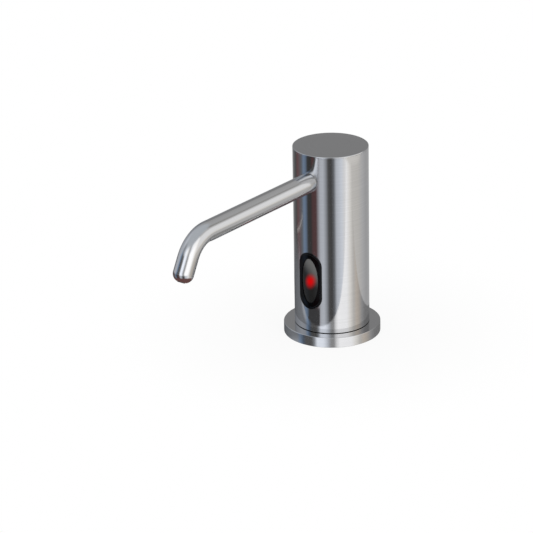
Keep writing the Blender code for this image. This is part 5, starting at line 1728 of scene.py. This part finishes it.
# The panels at three heights, by azimuth in degrees to the right of the camera
LOW_PANELS = Panels(
    (
        (-180, 0.45, Tint.PLAIN),
        (-168, 0.45, Tint.PLAIN),
        (-150, 0.2, Tint.PLAIN),
        (-132, 0.1, Tint.PLAIN),
        (-119, 0.13, Tint.RED),
        (-100, 0.18, Tint.COOL),
        (-90, 0.34, Tint.BLUE),
        (-82, 0.25, Tint.BLUE),
        (-75, 0.065, Tint.PLAIN),
        (-64, 0.055, Tint.PLAIN),
        (-57, 0.085, Tint.RED),
        (-46, 0.085, Tint.RED),
        (-33, 0.69, Tint.COOL),
        (-24, 0.72, Tint.COOL),
        (-16, 0.45, Tint.COOL),
        (-8, 0.11, Tint.PLAIN),
        (1, 0.08, Tint.PLAIN),
        (9, 0.21, Tint.COOL),
        (16, 0.73, Tint.COOL),
        (32, 0.98, Tint.COOL),
        (41, 1.04, Tint.PLAIN),
        (49, 1.27, Tint.PLAIN),
        (56, 1.1, Tint.PLAIN),
        (65, 0.8, Tint.WARM),
        (90, 0.73, Tint.WARM),
        (110, 0.62, Tint.PLAIN),
        (130, 0.5, Tint.PLAIN),
        (180, 0.45, Tint.PLAIN),
    )
)
MIDDLE_PANELS = Panels(
    (
        (-180, 0.3, Tint.PLAIN),
        (-164, 0.28, Tint.COOL),
        (-136, 0.5, Tint.COOL),
        (-108, 0.68, Tint.COOL),
        (-93, 0.64, Tint.COOL),
        (-83, 0.5, Tint.BLUE),
        (-74, 0.2, Tint.BLUE),
        (-66, 0.15, Tint.PLAIN),
        (-50, 0.15, Tint.PLAIN),
        (-43, 0.45, Tint.COOL),
        (-36, 1.57, Tint.COOL),
        (-22, 1.57, Tint.COOL),
        (-15, 1.24, Tint.COOL),
        (-9, 0.8, Tint.COOL),
        (-3, 0.48, Tint.PLAIN),
        (4, 0.48, Tint.PLAIN),
        (11, 1.32, Tint.PLAIN),
        (18, 1.75, Tint.PLAIN),
        (46, 1.68, Tint.PLAIN),
        (58, 1.33, Tint.WARM),
        (70, 0.88, Tint.WARM),
        (80, 0.82, Tint.SAND),
        (88, 0.72, Tint.SAND),
        (105, 0.5, Tint.PLAIN),
        (120, 0.34, Tint.PLAIN),
        (150, 0.27, Tint.PLAIN),
        (180, 0.3, Tint.PLAIN),
    )
)
HIGH_PANELS = Panels(
    (
        (-180, 0.48, Tint.PLAIN),
        (-150, 0.6, Tint.COOL),
        (-107, 0.82, Tint.COOL),
        (-92, 0.62, Tint.COOL),
        (-78, 0.34, Tint.COOL),
        (-67, 0.5, Tint.COOL),
        (-52, 0.88, Tint.COOL),
        (-38, 1.48, Tint.COOL),
        (-26, 1.54, Tint.PLAIN),
        (-14, 1.32, Tint.PLAIN),
        (-4, 0.67, Tint.PLAIN),
        (8, 0.62, Tint.PLAIN),
        (16, 1.1, Tint.COOL),
        (26, 1.52, Tint.PLAIN),
        (50, 1.5, Tint.PLAIN),
        (75, 1.27, Tint.PLAIN),
        (92, 0.95, Tint.PLAIN),
        (107, 0.42, Tint.WARM),
        (116, 0.35, Tint.WARM),
        (129, 0.54, Tint.PLAIN),
        (180, 0.48, Tint.PLAIN),
    )
)

# The card beside the spout, from its foot to its head, by height in millimetres
CARD_PANELS = Panels(
    (
        (72, 0.75, Tint.WARM),
        (80, 0.84, Tint.WARM),
        (98, 1.0, Tint.WARM),
        (122, 1.12, Tint.PLAIN),
        (200, 1.13, Tint.PLAIN),
        (245, 0.74, Tint.PLAIN),
        (290, 0.56, Tint.PLAIN),
    )
)


@dataclass(frozen=True)
class Patch:
    """A rectangle that lies on the table and shows only in reflections."""

    name: str
    middle: tuple[float, float]
    size: tuple[float, float]
    level: Colour


@dataclass
class Studio:
    """The light, the floor and the camera.

    The steel gets its look from what only reflections show: the screens all round, a card beside the spout,
    a light rail that draws the fine curve on the column, a dark mat in front of it, and the glossy board
    under it, which is duller at its left, up to a strip along its front. Bands are pairs of elevations in
    degrees, between which one row of panels fades into the next.
    """

    camera_azimuth: float = math.radians(36.19)
    camera_elevation: float = 0.373094
    camera_distance: float = 1.7382
    camera_lens: float = 184.28
    camera_clip: tuple[float, float] = (0.01, 20.0)
    aim_height: float = 0.060
    yaw: float = -0.0257227
    pitch: float = 0.0086374
    roll: float = -0.0195010
    fill_level: float = 0.8
    screens_radius: float = 4.0
    screens_segments: tuple[int, int] = (64, 32)
    middle_band: tuple[float, float] = (-12.0, 6.0)
    high_band: tuple[float, float] = (28.0, 38.0)
    zenith_band: tuple[float, float] = (44.0, 60.0)
    zenith: Colour = (0.62, 0.66, 0.71)
    nadir_band: tuple[float, float] = (-29.0, -46.0)
    nadir: Colour = (0.19, 0.095, 0.09)
    board_front: float = -50.0 * MM
    board_back: float = 53.0 * MM
    board_left: float = -210.0 * MM
    board_fade: float = -95.0 * MM
    board_gloss: float = 0.79
    dull_gloss: float = 0.36
    dull_across: tuple[float, float] = (0.0, -20.0 * MM)
    dull_depth: tuple[float, float] = (-46.0 * MM, -38.0 * MM)
    board_roughness: float = 0.06
    board_tone: Colour = (0.05, 0.05, 0.05)
    card_away: float = 120.0 * MM
    card_corners: tuple[tuple[float, float], ...] = (
        (-120.0 * MM, 100.0 * MM),
        (10.0 * MM, 84.0 * MM),
        (100.0 * MM, 72.0 * MM),
        (215.0 * MM, 290.0 * MM),
        (-120.0 * MM, 290.0 * MM),
    )
    rail: Patch = Patch("rail", (-199.0 * MM, -75.0 * MM), (3.5 * MM, 110.0 * MM), (0.85, 0.82, 0.78))
    mat: Patch = Patch("mat", (-10.75 * MM, -64.5 * MM), (32.5 * MM, 29.0 * MM), (0.067, 0.067, 0.07))
    floor_size: float = 6.0
    floor_drop: float = 0.05 * MM
    floor_tone: Colour = (0.8, 0.8, 0.8)
    shadow_share: float = 0.1
    shadow_near: float = 20.0 * MM
    shadow_far: float = 160.0 * MM
    lamp_azimuth: float = math.radians(40.0)
    lamp_elevation: float = math.radians(48.0)
    lamp_aim: float = -30.0 * MM
    lamp_distance: float = 1.3
    lamp_size: float = 0.35
    lamp_power: float = 1.6

    def build(self) -> None:
        """Sets up the camera, the surroundings, the lamp and the floor."""
        bpy.context.scene.view_settings.view_transform = "Standard"
        self.build_camera()
        self.build_world()
        self.build_screens()
        self.build_card()
        for patch in (self.rail, self.mat):
            self.build_patch(patch)
        self.build_lamp()
        self.build_floor()

    def build_camera(self) -> None:
        """The camera, at the photograph's place."""
        data = bpy.data.cameras.new("camera")
        data.lens = self.camera_lens
        data.clip_start, data.clip_end = self.camera_clip
        camera = bpy.data.objects.new("camera", data)
        bpy.context.scene.collection.objects.link(camera)
        away = self.camera_distance * math.cos(self.camera_elevation)
        rise = self.camera_distance * math.sin(self.camera_elevation) + self.aim_height
        tilt = math.pi / 2 - self.camera_elevation - self.pitch
        camera.matrix_world = (
            Matrix.Rotation(self.camera_azimuth, 4, "Z")
            @ Matrix.Translation((0, -away, rise))
            @ Matrix.Rotation(-self.yaw, 4, "Z")
            @ Matrix.Rotation(tilt, 4, "X")
            @ Matrix.Rotation(self.roll, 4, "Z")
        )
        bpy.context.scene.camera = camera

    def build_world(self) -> None:
        """A white background, also for what mirrors or lets through light, and an even soft fill."""
        world = bpy.data.worlds.new("studio")
        bpy.context.scene.world = world
        world.use_nodes = True
        graph = Graph(world.node_tree)
        path = graph.add("ShaderNodeLightPath").outputs
        shown = graph.maths("MAXIMUM", path["Is Camera Ray"], path["Is Glossy Ray"])
        shown = graph.maths("MAXIMUM", shown, path["Is Transmission Ray"])
        colour = graph.blend(shown, (self.fill_level,) * 3 + (1.0,), WHITE)
        background = graph.add("ShaderNodeBackground", {"Color": colour, "Strength": 1.0})
        graph.add("ShaderNodeOutputWorld", {"Surface": background.outputs[0]})

    def build_screens(self) -> None:
        """A wide round backdrop that only shows in reflections, with soft boxes and dark screens on it."""
        bm = bmesh.new()
        across, up = self.screens_segments
        bmesh.ops.create_uvsphere(bm, u_segments=across, v_segments=up, radius=self.screens_radius)
        bmesh.ops.reverse_faces(bm, faces=bm.faces)
        made, graph = new_material("screens")
        place = graph.add("ShaderNodeTexCoord").outputs["Object"]
        way = graph.add("ShaderNodeVectorMath", {0: place}, operation="NORMALIZE").outputs[0]
        x, y, z = graph.add("ShaderNodeSeparateXYZ", {0: way}).outputs
        azimuth = graph.maths("ARCTAN2", x, graph.maths("MULTIPLY", y, -1.0))
        # Half a turn more, so that the rows have their middle where the photograph was taken from
        share = graph.maths("MULTIPLY_ADD", azimuth, 1 / TAU, 1.5 - self.camera_azimuth / TAU)
        turn = graph.maths("FRACT", share)
        level = LOW_PANELS.colour(graph, turn)
        for band, beyond in (
            (self.middle_band, MIDDLE_PANELS.colour(graph, turn)),
            (self.high_band, HIGH_PANELS.colour(graph, turn)),
            (self.zenith_band, (*self.zenith, 1.0)),
            (self.nadir_band, (*self.nadir, 1.0)),
        ):
            start, end = (math.sin(math.radians(elevation)) for elevation in band)
            level = graph.blend(graph.fade(z, start, end), level, beyond)
        graph.lit(level)
        self.stand("screens", bm, made)

    def build_card(self) -> None:
        """A white card beside the spout, softer at its foot and head, for the broad light along the spout."""
        bm = bmesh.new()
        bm.faces.new([bm.verts.new((self.card_away, *corner)) for corner in self.card_corners])
        made, graph = new_material("card")
        place = graph.add("ShaderNodeTexCoord").outputs["Object"]
        height = graph.add("ShaderNodeSeparateXYZ", {0: place}).outputs[2]
        foot, head = CARD_PANELS.row[0][0] * MM, CARD_PANELS.row[-1][0] * MM
        share = graph.maths("MULTIPLY_ADD", height, 1 / (head - foot), -foot / (head - foot))
        graph.lit(CARD_PANELS.colour(graph, share))
        self.stand("card", bm, made)

    def build_patch(self, patch: Patch) -> None:
        """Lays a patch on the table.

        Args:
            patch: Which patch.
        """
        bm = bmesh.new()
        bmesh.ops.create_grid(bm, x_segments=1, y_segments=1, size=0.5)
        place = Matrix.Translation((*patch.middle, 0.0)) @ Matrix.Diagonal((*patch.size, 1, 1))
        bmesh.ops.transform(bm, matrix=place, verts=bm.verts)
        made, graph = new_material(patch.name)
        graph.lit((*patch.level, 1.0))
        self.stand(patch.name, bm, made)

    def stand(self, name: str, bm: bmesh.types.BMesh, material: bpy.types.Material) -> None:
        """Stands something in the studio that only reflections show.

        Args:
            name: Its name.
            bm: Its mesh, which is used up.
            material: Its material, which gives off light but lights nothing.
        """
        stood = plain_object(name, bm)
        material.cycles.emission_sampling = "NONE"
        stood.data.materials.append(material)
        stood.visible_camera = stood.visible_diffuse = stood.visible_transmission = False
        stood.visible_shadow = stood.visible_volume_scatter = False

    def build_lamp(self) -> None:
        """One soft lamp above the camera's right."""
        data = bpy.data.lights.new("soft_lamp", "AREA")
        data.shape = "SQUARE"
        data.size = self.lamp_size
        data.energy = self.lamp_power
        lamp = bpy.data.objects.new("soft_lamp", data)
        bpy.context.scene.collection.objects.link(lamp)
        lamp.visible_glossy = False
        turn, rise = self.camera_azimuth + self.lamp_azimuth, self.lamp_elevation
        way = Vector((math.sin(turn) * math.cos(rise), -math.cos(turn) * math.cos(rise), math.sin(rise)))
        target = Vector((0, self.lamp_aim, self.aim_height))
        lamp.location = target + way * self.lamp_distance
        lamp.rotation_euler = way.to_track_quat("Z", "Y").to_euler()

    def build_floor(self) -> None:
        """A white floor with the object's soft shadow. Reflections show only the glossy board of it."""
        bm = bmesh.new()
        bmesh.ops.create_grid(bm, x_segments=1, y_segments=1, size=self.floor_size / 2)
        bmesh.ops.translate(bm, verts=bm.verts, vec=(0, 0, -self.floor_drop))
        floor = plain_object("floor", bm)
        made, graph = new_material("floor")
        place = graph.add("ShaderNodeTexCoord").outputs["Object"]
        path = graph.add("ShaderNodeLightPath").outputs
        seen = self.seen_floor(graph, place, path["Is Camera Ray"])
        either = graph.layer(path["Is Glossy Ray"], seen, self.mirrored_board(graph, place))
        graph.add("ShaderNodeOutputMaterial", {"Surface": either.outputs[0]})
        floor.data.materials.append(made)

    def seen_floor(
        self, graph: Graph, place: bpy.types.NodeSocket, seen: bpy.types.NodeSocket
    ) -> bpy.types.Node:
        """The floor as it is seen: white, and part plain near the object, where its shadow shows.

        Args:
            graph: The floor's nodes.
            place: The point on the floor.
            seen: Whether it is seen directly.

        Returns:
            The shader.
        """
        plain = graph.add("ShaderNodeBsdfDiffuse", {"Color": (*self.floor_tone, 1.0)})
        white = graph.add("ShaderNodeEmission", {"Color": WHITE, "Strength": 1.0})
        away = graph.add("ShaderNodeVectorMath", {0: place}, operation="LENGTH").outputs["Value"]
        soft = graph.maths("MULTIPLY", graph.fade(away, self.shadow_far, self.shadow_near), self.shadow_share)
        bright = graph.maths("MULTIPLY", graph.maths("SUBTRACT", 1.0, soft), seen)
        return graph.layer(bright, plain, white)

    def mirrored_board(self, graph: Graph, place: bpy.types.NodeSocket) -> bpy.types.Node:
        """The floor in reflections: a strip of glossy board, and nothing outside it.

        Args:
            graph: The floor's nodes.
            place: The point on the floor.

        Returns:
            The shader.
        """
        grey = graph.add("ShaderNodeBsdfDiffuse", {"Color": (*self.board_tone, 1.0)})
        gloss = graph.add("ShaderNodeBsdfGlossy", {"Color": WHITE, "Roughness": self.board_roughness})
        clear = graph.add("ShaderNodeBsdfTransparent")
        across, depth, _ = graph.add("ShaderNodeSeparateXYZ", {0: place}).outputs
        left, behind = graph.fade(across, *self.dull_across), graph.fade(depth, *self.dull_depth)
        dull = graph.maths("MULTIPLY", left, behind)
        share = graph.maths("MULTIPLY_ADD", dull, self.dull_gloss - self.board_gloss, self.board_gloss)
        board = graph.layer(share, grey, gloss)
        middle = (self.board_front + self.board_back) / 2
        offset = graph.maths("ABSOLUTE", graph.maths("SUBTRACT", depth, middle))
        inside = graph.maths("LESS_THAN", offset, (self.board_back - self.board_front) / 2)
        inside = graph.maths("MULTIPLY", inside, graph.fade(across, self.board_left, self.board_fade))
        return graph.layer(inside, clear, board)


def main() -> None:
    """Builds the sub-assemblies in order, dresses the CAD nodes that stay and sets up the studio."""
    logging.basicConfig(level=logging.INFO, format="%(message)s")
    WARDROBE.dress_cad()
    Studio().build()
    for assembly in (Column(), Spout(), SensorWindow(), CheckValve(), DeckFixing(), EndPlug()):
        assembly.build()
        LOG.info("%s: %s", type(assembly).__name__, ", ".join(assembly.pieces))


if __name__ == "__main__":
    main()
